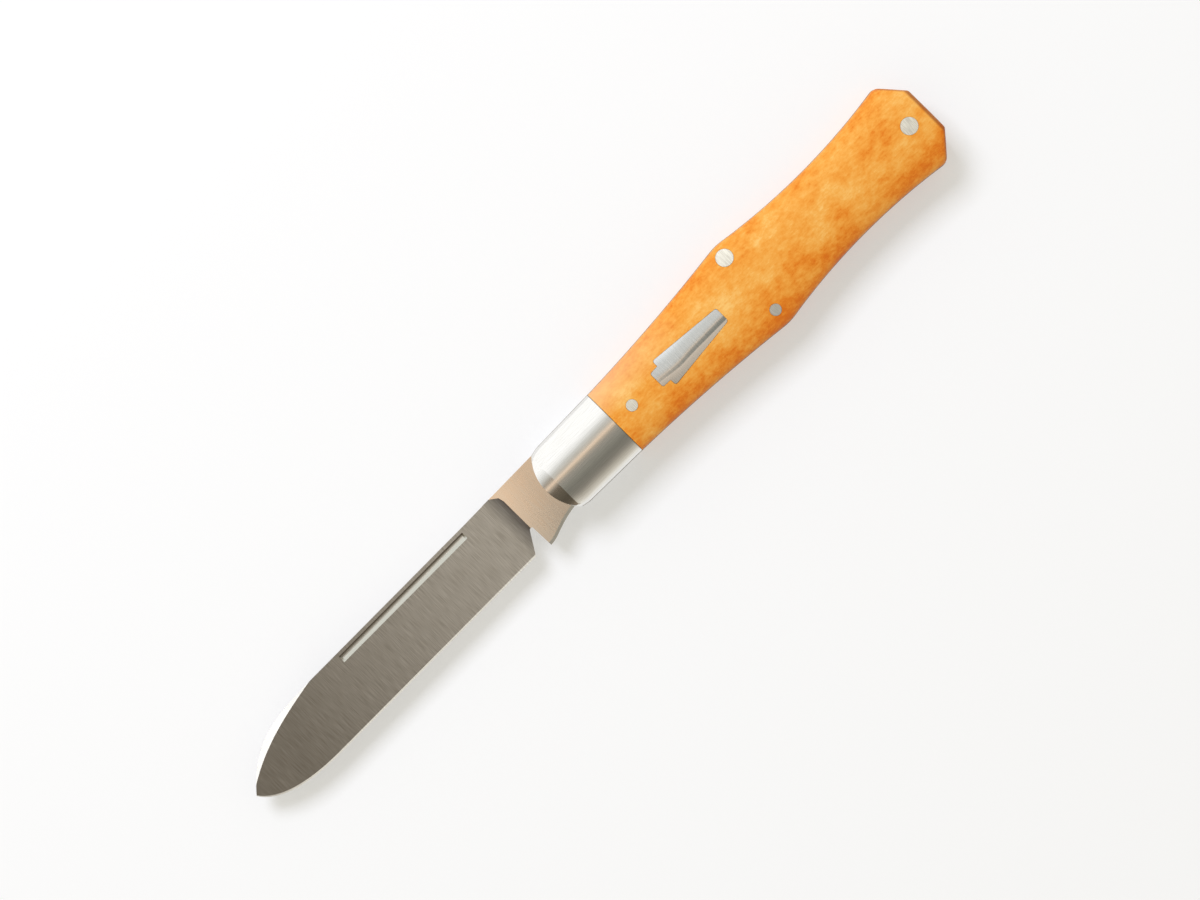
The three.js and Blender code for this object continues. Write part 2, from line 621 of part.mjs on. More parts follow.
// One row of the blade's face across its width: edge, bevel, flat, swedge line and spine
function bladeRow(x) {
  const edge = heightOn(edgeLine, x);
  const spine = heightOn(spineLine, x);
  const width = spine - edge;
  const bevel = Math.min(EDGE_BEVEL_WIDTH, width / 3);
  const swedge = x < SWEDGE_START_X && x > SWEDGE_END_X ? Math.min(spine, heightOn(swedgeLine, x)) : spine;
  const flatTop = Math.max(swedge, edge + bevel);
  const flat = Array.from({ length: 6 }, (_, i) => THREE.MathUtils.lerp(edge + bevel, flatTop, i / 5));
  const points = [edge, ...flat].map((y) => ({ y, z: grindAt(x, y - edge) }));
  const line = points[points.length - 1];
  const depth = Math.min(1, (spine - line.y) / SWEDGE_FULL_WIDTH);
  const spineZ = THREE.MathUtils.lerp(line.z, Math.min(line.z, SWEDGE_SPINE_THICKNESS / 2), depth);
  return [...points, { y: spine, z: spineZ }];
}

// Where the grind starts: straight up from the notch, bending towards the tip below the spine
function plungeAt(y) {
  const share = THREE.MathUtils.clamp((y - PLUNGE_CURVE_Y) / (SPINE_Y - PLUNGE_CURVE_Y), 0, 1);
  return PLUNGE_X - PLUNGE_CURVE_RUN * (1 - Math.sqrt(1 - share ** 2));
}

function groundBlade() {
  const rows = [];
  const across = bladeRow(PLUNGE_X);
  rows.push(across.map(({ y }) => ({ x: PLUNGE_X + BEYOND, y, z: BLADE_Z })));
  const plungeSteps = 4;
  for (let i = 0; i <= plungeSteps; i += 1) {
    const turn = (Math.PI / 2) * (i / plungeSteps);
    rows.push(across.map(({ y, z }) => ({
      x: plungeAt(y) - PLUNGE_RUN * (1 - Math.cos(turn)),
      y,
      z: THREE.MathUtils.lerp(BLADE_Z, z, Math.sin(turn)),
    })));
  }
  const bodyStart = PLUNGE_X - PLUNGE_CURVE_RUN - PLUNGE_RUN - PLUNGE_END_MARGIN;
  const curved = [...spineLine, ...edgeLine].map((p) => p.x).filter((x) => x < SWEDGE_START_X);
  const stations = [bodyStart, SPINE_RISE_X, SWEDGE_START_X, ...curved].sort((a, b) => b - a);
  for (const x of stations.filter((place, i) => i === 0 || stations[i - 1] - place > NEAR)) {
    rows.push(bladeRow(x).map(({ y, z }) => ({ x, y, z })));
  }
  const face = (side) => rows.map((row) => row.map(({ x, y, z }) => new THREE.Vector3(x, y, side * z)));
  return bodyBetween(face(-1), face(1));
}

const RELIEF = [TANG_RELIEF_X, TANG_RELIEF_DEPTH - CAM_HALF_WIDTH];
const bellyLine = curve(RELIEF, [...BELLY_HANDLES].reverse(), [KICK_X, KICK_Y], 12);

// The square end of the tang turns under the spring: each flat holds the blade open, half open or closed
function tangOutline() {
  return closedRounded([
    { x: PLUNGE_X, y: heightOn(spineLine, PLUNGE_X) },
    { x: BLADE_SHOULDER_X, y: SPINE_Y + SPINE_RISE },
    { x: BLADE_SHOULDER_X, y: CAM_HALF_WIDTH, r: SHOULDER_FOOT_RADIUS },
    { x: CAM_HALF_WIDTH, y: CAM_HALF_WIDTH, r: CAM_CORNER_RADIUS },
    { x: CAM_HALF_WIDTH, y: -CAM_HALF_WIDTH, r: CAM_CORNER_RADIUS },
    { x: -CAM_CORNER_RADIUS, y: -CAM_HALF_WIDTH, r: CAM_FOOT_RADIUS },
    ...bellyLine,
    { x: PLUNGE_X, y: NOTCH_HEAD_Y - NOTCH_RADIUS },
  ]);
}

function notchCutter() {
  const along = new THREE.Vector2(HEEL_X - NOTCH_FRONT_X, EDGE_Y - NOTCH_HEAD_Y);
  const below = new THREE.Vector2(NOTCH_FRONT_X, NOTCH_HEAD_Y).addScaledVector(along, 1.5);
  const outline = closedRounded([
    { x: KICK_X, y: KICK_Y },
    { x: NOTCH_BACK_X, y: NOTCH_HEAD_Y, r: NOTCH_RADIUS },
    { x: NOTCH_FRONT_X, y: NOTCH_HEAD_Y, r: NOTCH_RADIUS },
    { x: below.x, y: below.y },
    { x: KICK_X, y: below.y },
  ]);
  return plate(outline, -CROWN_Z, CROWN_Z);
}

// The nail's groove in the front face: an upright upper wall over a sloping floor
function longPull() {
  const faceZ = (y) => grindAt(PULL_START_X, y - EDGE_Y);
  const row = (x, deep) => {
    const floor = faceZ(PULL_UPPER_Y) - PULL_DEPTH * deep;
    return {
      high: [
        new THREE.Vector3(x, PULL_LOWER_Y, faceZ(PULL_LOWER_Y) + BEYOND),
        new THREE.Vector3(x, PULL_UPPER_Y, faceZ(PULL_UPPER_Y) + BEYOND),
      ],
      low: [
        new THREE.Vector3(x, PULL_LOWER_Y, faceZ(PULL_LOWER_Y) + PULL_SKIN),
        new THREE.Vector3(x, PULL_UPPER_Y - PULL_WALL_LEAN * deep, floor),
      ],
    };
  };
  const rows = [
    row(PULL_START_X, 0),
    row(PULL_START_X + PULL_RAMP, 1),
    row(PULL_END_X - PULL_RAMP, 1),
    row(PULL_END_X, 0),
  ];
  return bodyBetween(rows.map((r) => r.high), rows.map((r) => r.low));
}

// A chamfer along the tang's belly, from the bolster to the kick, on the front face
function bellyChamfer() {
  const rows = bellyLine.map((p) => ({
    outside: [
      new THREE.Vector3(p.x, p.y - BEYOND, BLADE_Z - TANG_CHAMFER_DEPTH * (1 + BEYOND / TANG_CHAMFER)),
      new THREE.Vector3(p.x, p.y + TANG_CHAMFER, BLADE_Z),
    ],
    above: [
      new THREE.Vector3(p.x, p.y - BEYOND, BLADE_Z + BEYOND),
      new THREE.Vector3(p.x, p.y + TANG_CHAMFER, BLADE_Z + BEYOND),
    ],
  }));
  return bodyBetween(rows.map((r) => r.outside), rows.map((r) => r.above));
}

function bladeSolid() {
  const whole = plate(tangOutline(), -BLADE_Z, BLADE_Z).add(groundBlade());
  return cut(whole, [
    notchCutter(),
    longPull(),
    bellyChamfer(),
    mirrored(bellyChamfer()),
    rod(PINS.pivot, BUSHING_OUTER_RADIUS + PIN_PLAY, -CROWN_Z, CROWN_Z),
  ]);
}

// Materials

const metal = (color, roughness) => new THREE.MeshStandardMaterial({ color, roughness, metalness: 1 });
const bone = new THREE.MeshStandardMaterial({ color: 0xe8912e, roughness: 0.45, metalness: 0 });
const linerSteel = metal(0xb4b2ad, 0.4);
const bolsterSteel = metal(0xc4c5c5, 0.28);
const bladeSteel = metal(0x9a958c, 0.35);
const pinSteel = metal(0xd5d3c8, 0.35);
const shieldSteel = metal(0xb8bcbc, 0.3);
const bushingBrass = metal(0xc9a45c, 0.35);

// Assembly: the middle plane of the blade lies half the knife's thickness above the table

const knife = new THREE.Group();
knife.position.z = CROWN_Z;

function add(name, solid, material) {
  const mesh = new THREE.Mesh(geometryOf(solid), material);
  mesh.name = name;
  knife.add(mesh);
}

add('blade', bladeSolid(), bladeSteel);
add('backspring', springSolid(), linerSteel);
add('pivot_pin', rod(PINS.pivot, PIVOT_RADIUS, -PIVOT_END_Z, PIVOT_END_Z), pinSteel);
add('pivot_bushing', bushingSolid(), bushingBrass);
add('spring_centre_pin', rivet(PINS.centre), pinSteel);
add('butt_pin', rivet(PINS.butt), pinSteel);

for (const [side, onSide] of [['front', (solid) => solid], ['rear', mirrored]]) {
  add(`${side}_liner`, onSide(linerSolid()), linerSteel);
  add(`${side}_bolster`, onSide(bolsterSolid()), bolsterSteel);
  add(`${side}_scale`, onSide(side === 'front' ? frontScaleSolid() : scaleSolid()), bone);
  add(`${side}_scale_pin_bolster_end`, onSide(smallPin(PINS.bolsterEnd)), pinSteel);
  add(`${side}_scale_pin_belly`, onSide(smallPin(PINS.belly)), pinSteel);
  PINS.bolster.forEach((place, i) => {
    const pin = rod(place, HIDDEN_PIN_RADIUS, LINER_Z, COVER_Z + HIDDEN_PIN_DEPTH);
    add(`${side}_bolster_pin_${i + 1}`, onSide(pin), pinSteel);
  });
}

add('shield', shieldSolid(), shieldSteel);
PINS.shield.forEach((place, i) => {
  add(`shield_pin_${i + 1}`, rod(place, SHIELD_PIN_RADIUS, COVER_Z, SHIELD_FLOOR_Z), pinSteel);
});

export default knife;
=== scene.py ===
import math

import bpy
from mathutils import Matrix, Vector


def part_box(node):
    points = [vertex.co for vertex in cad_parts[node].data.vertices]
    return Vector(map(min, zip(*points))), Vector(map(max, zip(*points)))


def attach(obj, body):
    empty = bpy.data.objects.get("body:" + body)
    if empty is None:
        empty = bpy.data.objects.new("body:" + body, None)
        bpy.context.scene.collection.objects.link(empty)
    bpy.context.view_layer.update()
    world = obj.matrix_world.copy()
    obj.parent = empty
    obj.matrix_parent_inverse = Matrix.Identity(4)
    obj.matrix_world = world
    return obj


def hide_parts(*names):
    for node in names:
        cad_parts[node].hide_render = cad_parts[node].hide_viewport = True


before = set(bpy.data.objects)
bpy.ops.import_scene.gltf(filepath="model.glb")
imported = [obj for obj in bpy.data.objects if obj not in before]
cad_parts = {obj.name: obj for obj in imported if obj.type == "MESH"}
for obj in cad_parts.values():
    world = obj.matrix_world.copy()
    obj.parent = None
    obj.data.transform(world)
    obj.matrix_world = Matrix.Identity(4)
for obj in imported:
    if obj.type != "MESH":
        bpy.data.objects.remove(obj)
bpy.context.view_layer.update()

# A folding pocket knife lying on its rear side, blade open. Metres; sizes are written in millimetres.
# +X runs from the blade's tip to the butt, +Y to the knife's back, +Z up; the pivot is over the origin.
MM = 0.001

# Heights, from the frame
TABLE_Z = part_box("rear_bolster")[0][2]
CROWN_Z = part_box("front_bolster")[1][2]
MIDDLE_Z = (TABLE_Z + CROWN_Z) / 2
COVER_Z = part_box("front_bolster")[0][2]
LINER_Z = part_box("front_liner")[0][2]
BLADE_HALF = (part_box("blade")[1][2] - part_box("blade")[0][2]) / 2
COVER_THICKNESS = CROWN_Z - COVER_Z
ABOVE = 2 * MM  # how far a cutter reaches past what it cuts, and the ground blade into its tang

# Outline of the handle: places along X, half-widths about the centreline
CENTRELINE_Y = 1.7 * MM
JUNCTION_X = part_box("front_scale")[0][0]
BUTT_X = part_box("front_scale")[1][0]
NOSE_LENGTH = 2.7 * MM
NOSE_CORNER_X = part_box("front_liner")[0][0] + NOSE_LENGTH
NOSE_HALF_WIDTH = 6.62 * MM
NOSE_EASE_X = -2.5 * MM
NOSE_EASE_HALF_WIDTH = 6.95 * MM
NOSE_EASE_RADIUS = 3.0 * MM
JUNCTION_HALF_WIDTH = 7.18 * MM
SWELL_X = 46.8 * MM
SWELL_HALF_WIDTH = 9.85 * MM
FRONT_SWEEP_SAG = 0.42 * MM
WAIST_SAG = 1.62 * MM
BUTT_CORNER_X = 87.7 * MM
BUTT_HALF_WIDTH = 9.65 * MM
BUTT_FLAT_HALF_WIDTH = 4.75 * MM
SWELL_CORNER_RADIUS = 16.0 * MM
BUTT_CORNER_RADIUS = 2.0 * MM
BUTT_END_RADIUS = 1.2 * MM
BUTT_RUN = BUTT_X - BUTT_CORNER_X
BUTT_RISE = BUTT_HALF_WIDTH - BUTT_FLAT_HALF_WIDTH
BUTT_SLANT = math.hypot(BUTT_RUN, BUTT_RISE)

# Section of the covers: a crown that turns over into an upright side wall
COVER_EDGE_HEIGHT = 1.2 * MM
SHOULDER_POWER = 2.25
BUTT_EDGE_RADIUS = 0.9 * MM
RIM_INSET = 0.1 * MM  # covers stand this far inside the liners
NOSE_RADIUS = (NOSE_HALF_WIDTH**2 + NOSE_LENGTH**2) / (2 * NOSE_LENGTH)
NOSE_BEVEL_RUN = 2.5 * MM
NOSE_BEVEL_SLOPE = 0.6
NOSE_FLATTENING = 0.6
JOINT = 0.1 * MM  # fine dark joint between bolster and scale

# The blade; handles are control points of a curve, in millimetres
SHOULDER_X = -4.2 * MM
SPINE_Y = 8.1 * MM
SPINE_RISE = 0.22 * MM
SPINE_RISE_X = -22 * MM
SPINE_DROP = 0.05 * MM
SWEDGE_START_X = -62.4 * MM
EDGE_Y = -5.35 * MM
EDGE_CURVE_X = -67.3 * MM
TIP_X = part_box("blade")[0][0]
SPINE_HANDLES = [(-71.2, 7.82), (-77.4, 7.9)]
EDGE_HANDLES = [(-75.6, -5.35), (-81.8, -3.83)]
SWEDGE_HANDLES = [(-69.0, 6.9), (-76.1, 5.68)]
SWEDGE_END_X = TIP_X + 1.4 * MM
SWEDGE_FULL_WIDTH = 0.4 * MM
SWEDGE_HALF = 0.45 * MM
SWEDGE_MARGIN = 0.1 * MM  # no section of the curves comes closer to its start
PLUNGE_X = -13.7 * MM
PLUNGE_CURVE_Y = 5.9 * MM
PLUNGE_CURVE_RUN = 1.8 * MM
PLUNGE_RUN = 1.5 * MM
PLUNGE_END_MARGIN = 0.5 * MM
EDGE_BEVEL_WIDTH = 0.32 * MM
EDGE_BEVEL_HALF = 0.21 * MM
EDGE_HALF = 0.03 * MM
PULL_START_X = -55.3 * MM
PULL_END_X = -23.2 * MM
PULL_UPPER_Y = 7.4 * MM
PULL_LOWER_Y = 5.95 * MM
PULL_RAMP = 0.35 * MM
PULL_SHADE = 0.25 * MM  # breadth of its dark upper wall
PULL_SLOPE = (0.6, 0.42)  # how far the groove's floor runs and falls towards its first handle
PULL_FOOT = 0.62  # depth of the handle under its upper wall
PULL_LIFT = 0.002 * MM  # how far its run-out ends stand clear of the blade

# The tang
CAM_HALF_WIDTH = 5.2 * MM
CAM_CORNER_RADIUS = 3.0 * MM
CAM_FOOT_RADIUS = 1.5 * MM
SHOULDER_FOOT_RADIUS = 0.3 * MM
KICK = Vector((-13.2, -5.84)) * MM
NOTCH_FRONT = Vector((-14.05, -1.0)) * MM
NOTCH_BACK = Vector((-13.35, -1.0)) * MM
NOTCH_RADIUS = 0.35 * MM
NOTCH_REACH = 1.5  # how far its cutter goes on, as a share of the way to the heel
HEEL_X = -16.75 * MM
RELIEF = Vector((-4.6, -3.8)) * MM
BELLY_HANDLES = [(-9.6, -4.37), (-10.9, -5.8)]
TANG_CHAMFER = 0.6 * MM
TANG_CHAMFER_DEPTH = 0.45 * MM
PIVOT_BORE_RADIUS = 2.0 * MM

# The spring
SPRING_FRONT_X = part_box("backspring")[0][0]
SPRING_NOSE_LENGTH = 7.0 * MM
SPRING_RAMP = 6.0 * MM
SPRING_NOSE_Y = 5.25 * MM
WELL_TOP_Y = CENTRELINE_Y + 4.3 * MM
SPRING_BLOCK_X = 1.1 * MM - TIP_X
WELL_END_RADIUS = 5.0 * MM

# The pins and the shield
RING = 0.04 * MM  # the gap around a pin or the shield, seen as a dark line
SUNK = 0.02 * MM  # how far bone lies below metal after sanding
SMALL_PIN_RADIUS = 1.1 * MM
RIVET_HEAD_RADIUS = 1.65 * MM
RIVET_SEAT = 1.2 * MM
SHIELD_THICKNESS = 1.3 * MM
# The shield's corners: place from the junction, half-width and radius, in millimetres
SHIELD_FROM_JUNCTION = [(27.8, 1.58, 0.6), (12.8, 3.03, 0.5), (12.76, 1.72, 0.12), (10.87, 1.66, 0.5)]
# How its face leans to the knife's back, from the belly side on: place in millimetres, then the slope at the
# tab and at the far end
SHIELD_LEAN = [
    (-3.8, -0.03, -0.01),
    (-2.2, -0.015, 0.0),
    (-1.4, 0.0, 0.0),
    (-1.15, 0.012, 0.005),
    (-1.03, -0.01, -0.12),
    (-0.6, 0.0, -0.09),
    (-0.1, 0.035, 0.02),
    (0.4, 0.058, 0.058),
    (1.2, 0.062, 0.062),
    (1.8, 0.075, 0.075),
    (2.4, 0.10, 0.10),
    (3.4, 0.15, 0.15),
]
# Where its crease runs: place from the junction and shift to the back, in millimetres
SHIELD_CREASE = [
    (10.0, 0.45),
    (11.6, 0.42),
    (12.8, 0.24),
    (14.0, 0.04),
    (15.2, -0.1),
    (16.6, -0.14),
    (18.4, -0.04),
    (20.0, 0.0),
    (29.0, 0.0),
]

# How far edges are rounded off
BOLSTER_EASE = 0.07 * MM
PIN_EASE = 0.05 * MM
SHIELD_EASE = 0.06 * MM
LINER_EASE = 0.05 * MM
SPRING_EASE = 0.04 * MM

# Edges that turn by fewer degrees than this are shaded smooth
COVER_SMOOTH = 30
PLATE_SMOOTH = 16
BLADE_SMOOTH = 15

# Steps of the curves and the meshes
CORNER_STEPS = 8
CORNER_SHARE = 0.45  # how much of a side a rounded corner may take
FRONT_SWEEP_STEPS = 28
WAIST_STEPS = 36
NOSE_STEPS = 40
COVER_STEPS_ACROSS = 48
SCALE_STEPS = 90
BUTT_STEPS = 10
BUTT_EDGE_STEPS = 8
BEVEL_STEPS = 8
BOLSTER_STEPS = 30
BLADE_CURVE_STEPS = 60
SWEDGE_STEPS = 40
BELLY_STEPS = 32
GRIND_STEPS = 12
PLUNGE_STEPS = 16
BLADE_STEPS = 24
PULL_STEPS = 14
SHIELD_STEPS_ACROSS = 72
SHIELD_STEPS = 38
ROD_SIDES = 64
SCALE_LEAST_STEP = 0.03 * MM
BLADE_LEAST_STEP = 0.06 * MM
MERGE = 0.002 * MM  # points closer than this become one


def middle_of(node):
    """Where a CAD node stands in plan."""
    low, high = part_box(node)
    return ((low[0] + high[0]) / 2, (low[1] + high[1]) / 2)


# Lines in plan


def sag_arc(a, b, sag, steps):
    """Points from a to b on an arc whose middle lies sag below the chord."""
    chord = (b - a).length
    radius = (chord**2 / 4 + sag**2) / (2 * sag)
    across = Vector((a.y - b.y, b.x - a.x)) / chord
    centre = (a + b) / 2 + across * (radius - sag)
    start = math.atan2(a.y - centre.y, a.x - centre.x)
    sweep = 2 * math.asin(chord / 2 / radius)
    angles = [start + sweep * i / steps for i in range(steps + 1)]
    return [centre + radius * Vector((math.cos(t), math.sin(t))) for t in angles]


def rounded(line):
    """The open line of (x, y, radius) with each corner that has a radius rounded off."""
    points = [Vector(corner[:2]) for corner in line]
    out = [points[0]]
    for i in range(1, len(line) - 1):
        radius = line[i][2] if len(line[i]) > 2 else 0
        if not radius:
            out.append(points[i])
            continue
        before = points[i - 1] - points[i]
        after = points[i + 1] - points[i]
        turn = math.pi - before.angle(after)
        reach = min(radius * math.tan(turn / 2), CORNER_SHARE * before.length, CORNER_SHARE * after.length)
        start = points[i] + before.normalized() * reach
        end = points[i] + after.normalized() * reach
        for k in range(CORNER_STEPS + 1):
            t = k / CORNER_STEPS
            out.append((1 - t) ** 2 * start + 2 * t * (1 - t) * points[i] + t**2 * end)
    return out + [points[-1]]


def closed_rounded(corners):
    """The same for a closed line."""
    return rounded([corners[-1], *corners, corners[0]])[1:-1]


def bezier(points, steps):
    """A curve from the first of four points to the last, drawn by the two between."""
    a, b, c, d = [Vector(p) for p in points]
    shares = [i / steps for i in range(steps + 1)]
    return [(1 - t) ** 3 * a + 3 * t * (1 - t) ** 2 * b + 3 * t**2 * (1 - t) * c + t**3 * d for t in shares]


def curve(start, handles, end, steps):
    """A curve between two points, with handles in millimetres."""
    return bezier([start, *[Vector(p) * MM for p in handles], end], steps)


def mix(a, b, share):
    return a + (b - a) * share


def height_on(line, x):
    """The line's y at x; its points run one way along X."""
    points = line if line[0].x < line[-1].x else line[::-1]
    if x <= points[0].x:
        return points[0].y
    for a, b in zip(points, points[1:]):
        if x <= b.x:
            run = b.x - a.x
            return b.y if run < 1e-9 else mix(a.y, b.y, (x - a.x) / run)
    return points[-1].y


def side_line():
    """Half-width along the handle, from the corner of the nose to the butt's flat end.

    The arcs stop a few steps short of the corners, to leave them room for their rounding.
    """
    swell = Vector((SWELL_X, SWELL_HALF_WIDTH))
    butt = Vector((BUTT_CORNER_X, BUTT_HALF_WIDTH))
    front = sag_arc(Vector((JUNCTION_X, JUNCTION_HALF_WIDTH)), swell, FRONT_SWEEP_SAG, FRONT_SWEEP_STEPS)
    waist = sag_arc(swell, butt, WAIST_SAG, WAIST_STEPS)
    line = [
        (NOSE_CORNER_X, NOSE_HALF_WIDTH),
        (NOSE_EASE_X, NOSE_EASE_HALF_WIDTH, NOSE_EASE_RADIUS),
        *[tuple(p) for p in front[:-3]],
        (*swell, SWELL_CORNER_RADIUS),
        *[tuple(p) for p in waist[3:-2]],
        (*butt, BUTT_CORNER_RADIUS),
        (BUTT_X, BUTT_FLAT_HALF_WIDTH, BUTT_END_RADIUS),
        (BUTT_X, 0),
    ]
    return rounded(line)[:-1]


SIDE = side_line()


def half_width(x):
    """Half the handle's width at a place along it."""
    return height_on(SIDE, x)


def nose_front(offset, height):
    """X of the nose at a distance from the centreline: an upright wall, then a bevel with a flatter bow."""
    share = max(0, height - COVER_EDGE_HEIGHT) / (COVER_THICKNESS - COVER_EDGE_HEIGHT)
    radius = NOSE_RADIUS / (1 - NOSE_FLATTENING * share)
    bow = radius - math.sqrt(radius**2 - offset**2)
    return NOSE_CORNER_X - NOSE_LENGTH + NOSE_BEVEL_RUN * share + bow


def cover_height(x, offset):
    """Height of a cover above its liner."""
    width = BUTT_HALF_WIDTH if x > BUTT_CORNER_X else half_width(x)
    share = min(1, abs(offset) / (width - RIM_INSET))
    dome = mix(COVER_EDGE_HEIGHT, COVER_THICKNESS, math.sqrt(max(0, 1 - share**SHOULDER_POWER)))
    corner = ((BUTT_X - x) * BUTT_RISE + (BUTT_FLAT_HALF_WIDTH - abs(offset)) * BUTT_RUN) / BUTT_SLANT
    inside = BUTT_EDGE_RADIUS - min(BUTT_EDGE_RADIUS, max(0, min(BUTT_X - x, corner)))
    return dome - BUTT_EDGE_RADIUS + math.sqrt(BUTT_EDGE_RADIUS**2 - inside**2)


# Modelling, one operator or modifier at a time


def select(piece):
    """Makes a piece the active one and the only one selected."""
    bpy.ops.object.select_all(action="DESELECT")
    piece.select_set(True)
    bpy.context.view_layer.objects.active = piece


def edit(piece):
    """Opens a piece for editing, with every face selected."""
    select(piece)
    bpy.ops.object.mode_set(mode="EDIT")
    bpy.ops.mesh.select_mode(type="FACE")
    bpy.ops.mesh.select_all(action="SELECT")


def leave_edit():
    bpy.ops.object.mode_set(mode="OBJECT")


def clean(piece):
    """Merges doubles and turns every face outwards."""
    edit(piece)
    bpy.ops.mesh.remove_doubles(threshold=MERGE)
    bpy.ops.mesh.normals_make_consistent(inside=False)
    leave_edit()


def named(piece, name):
    """The piece, with a name for it and its mesh."""
    piece.name = name
    piece.data.name = name
    return piece


def modify(piece, kind, **settings):
    """Adds a modifier with its settings and applies it."""
    modifier = piece.modifiers.new(kind.lower(), kind)
    for key, value in settings.items():
        setattr(modifier, key, value)
    select(piece)
    bpy.ops.object.modifier_apply(modifier=modifier.name)


def cut(piece, tool, operation="DIFFERENCE"):
    """Cuts a piece by a tool, and deletes the tool."""
    modify(piece, "BOOLEAN", object=tool, operation=operation, solver="EXACT")
    bpy.data.objects.remove(tool, do_unlink=True)


def smooth(piece, degrees):
    """Shades edges smooth that turn by fewer degrees."""
    select(piece)
    bpy.ops.object.shade_smooth_by_angle(angle=math.radians(degrees))


def soften(piece, width, degrees):
    """Rounds off every edge that turns by more than so many degrees."""
    limit = math.radians(degrees)
    modify(piece, "BEVEL", width=width, segments=2, limit_method="ANGLE", angle_limit=limit)


def plate(name, outline, low, high):
    """A flat plate between two heights, from a circle whose corners are drawn onto the outline."""
    bpy.ops.mesh.primitive_circle_add(vertices=len(outline), radius=1, fill_type="NGON")
    piece = named(bpy.context.object, name)
    for vertex, point in zip(piece.data.vertices, outline):
        vertex.co = (point[0], point[1], low)
    edit(piece)
    bpy.ops.mesh.extrude_region_move(TRANSFORM_OT_translate={"value": (0, 0, high - low)})
    leave_edit()
    clean(piece)
    return piece


def rod(name, place, radius, low, high):
    """A round rod along Z."""
    middle = (*place, (low + high) / 2)
    length = high - low
    bpy.ops.mesh.primitive_cylinder_add(vertices=ROD_SIDES, radius=radius, depth=length, location=middle)
    piece = named(bpy.context.object, name)
    bpy.ops.object.transform_apply(location=True, rotation=True, scale=True)
    return piece


def sheet_from(name, rows):
    """A grid with one row of points for each list in rows."""
    across = len(rows[0]) - 1
    along = len(rows) - 1
    bpy.ops.mesh.primitive_grid_add(x_subdivisions=along, y_subdivisions=across, size=2)
    piece = named(bpy.context.object, name)
    for vertex in piece.data.vertices:
        row = round((vertex.co.x + 1) / 2 * along)
        column = round((vertex.co.y + 1) / 2 * across)
        vertex.co = rows[row][column]
    return piece


def extrude_to(piece, height, stretch=0):
    """Extrudes a sheet and presses the new layer flat at a height; a stretch of -1 mirrors it there."""
    edit(piece)
    bpy.ops.mesh.extrude_region_move(TRANSFORM_OT_translate={"value": (0, 0, 0)})
    bpy.ops.transform.resize(value=(1, 1, stretch), center_override=(0, 0, height))


def wedge(name, rows, height):
    """A cutter between a sheet and a height."""
    tool = sheet_from(name, rows)
    extrude_to(tool, height)
    leave_edit()
    clean(tool)
    return tool


def solid_above(name, rows, height):
    """A solid between a height, where it has one flat face, and a sheet."""
    piece = sheet_from(name, rows)
    extrude_to(piece, height)
    bpy.ops.mesh.dissolve_faces()
    leave_edit()
    clean(piece)
    return piece


def twofold(name, rows):
    """A solid between a sheet and its mirror image below the knife's middle."""
    piece = sheet_from(name, rows)
    extrude_to(piece, MIDDLE_Z, stretch=-1)
    leave_edit()
    clean(piece)
    return piece


def mirrored(piece, name):
    """A copy of a front piece for the rear side."""
    twin = piece.copy()
    twin.data = piece.data.copy()
    bpy.context.collection.objects.link(twin)
    named(twin, name)
    edit(twin)
    bpy.ops.transform.resize(value=(1, 1, -1), center_override=(0, 0, MIDDLE_Z))
    bpy.ops.mesh.normals_make_consistent(inside=False)
    leave_edit()
    return twin


# Outlines of the flat pieces


def handle_outline():
    """Plan of a liner, the widest of the handle."""
    back = [Vector((p.x, CENTRELINE_Y + p.y)) for p in SIDE]
    belly = [Vector((p.x, CENTRELINE_Y - p.y)) for p in reversed(SIDE)]
    offsets = [NOSE_HALF_WIDTH * math.sin(math.pi * (i / NOSE_STEPS - 0.5)) for i in range(1, NOSE_STEPS)]
    nose = [Vector((nose_front(y, 0), CENTRELINE_Y + y)) for y in offsets]
    return [*nose, *back, *belly]


def spring_outline():
    """Plan of the spring: the handle's back, its butt, and the well in which the blade lies when closed."""
    back = [p for p in SIDE if p.x > SPRING_FRONT_X]
    top = [Vector((SPRING_FRONT_X, CENTRELINE_Y + half_width(SPRING_FRONT_X)))]
    top += [Vector((p.x, CENTRELINE_Y + p.y)) for p in back]
    belly = [Vector((p.x, CENTRELINE_Y - p.y)) for p in reversed(back) if p.x > SPRING_BLOCK_X]
    ramp_x = SPRING_FRONT_X + SPRING_NOSE_LENGTH
    well = rounded([
        (SPRING_BLOCK_X, CENTRELINE_Y - half_width(SPRING_BLOCK_X)),
        (SPRING_BLOCK_X, WELL_TOP_Y, WELL_END_RADIUS),
        (ramp_x + SPRING_RAMP, WELL_TOP_Y, SPRING_RAMP),
        (ramp_x, SPRING_NOSE_Y, SPRING_RAMP),
        (SPRING_FRONT_X, SPRING_NOSE_Y),
    ])
    return [*top, *belly, *well]


SPINE_END = Vector((SWEDGE_START_X, SPINE_Y - SPINE_DROP))
SPINE = [
    Vector((SHOULDER_X, SPINE_Y + SPINE_RISE)),
    Vector((SPINE_RISE_X, SPINE_Y)),
    *curve(SPINE_END, SPINE_HANDLES, Vector((TIP_X, EDGE_HALF)), BLADE_CURVE_STEPS),
]
EDGE = [
    Vector((0, EDGE_Y)),
    *curve(Vector((EDGE_CURVE_X, EDGE_Y)), EDGE_HANDLES, Vector((TIP_X, -EDGE_HALF)), BLADE_CURVE_STEPS),
]
SWEDGE_END = Vector((SWEDGE_END_X, height_on(SPINE, SWEDGE_END_X)))
SWEDGE = curve(SPINE_END, SWEDGE_HANDLES, SWEDGE_END, SWEDGE_STEPS)
BELLY = curve(RELIEF, BELLY_HANDLES, KICK, BELLY_STEPS)


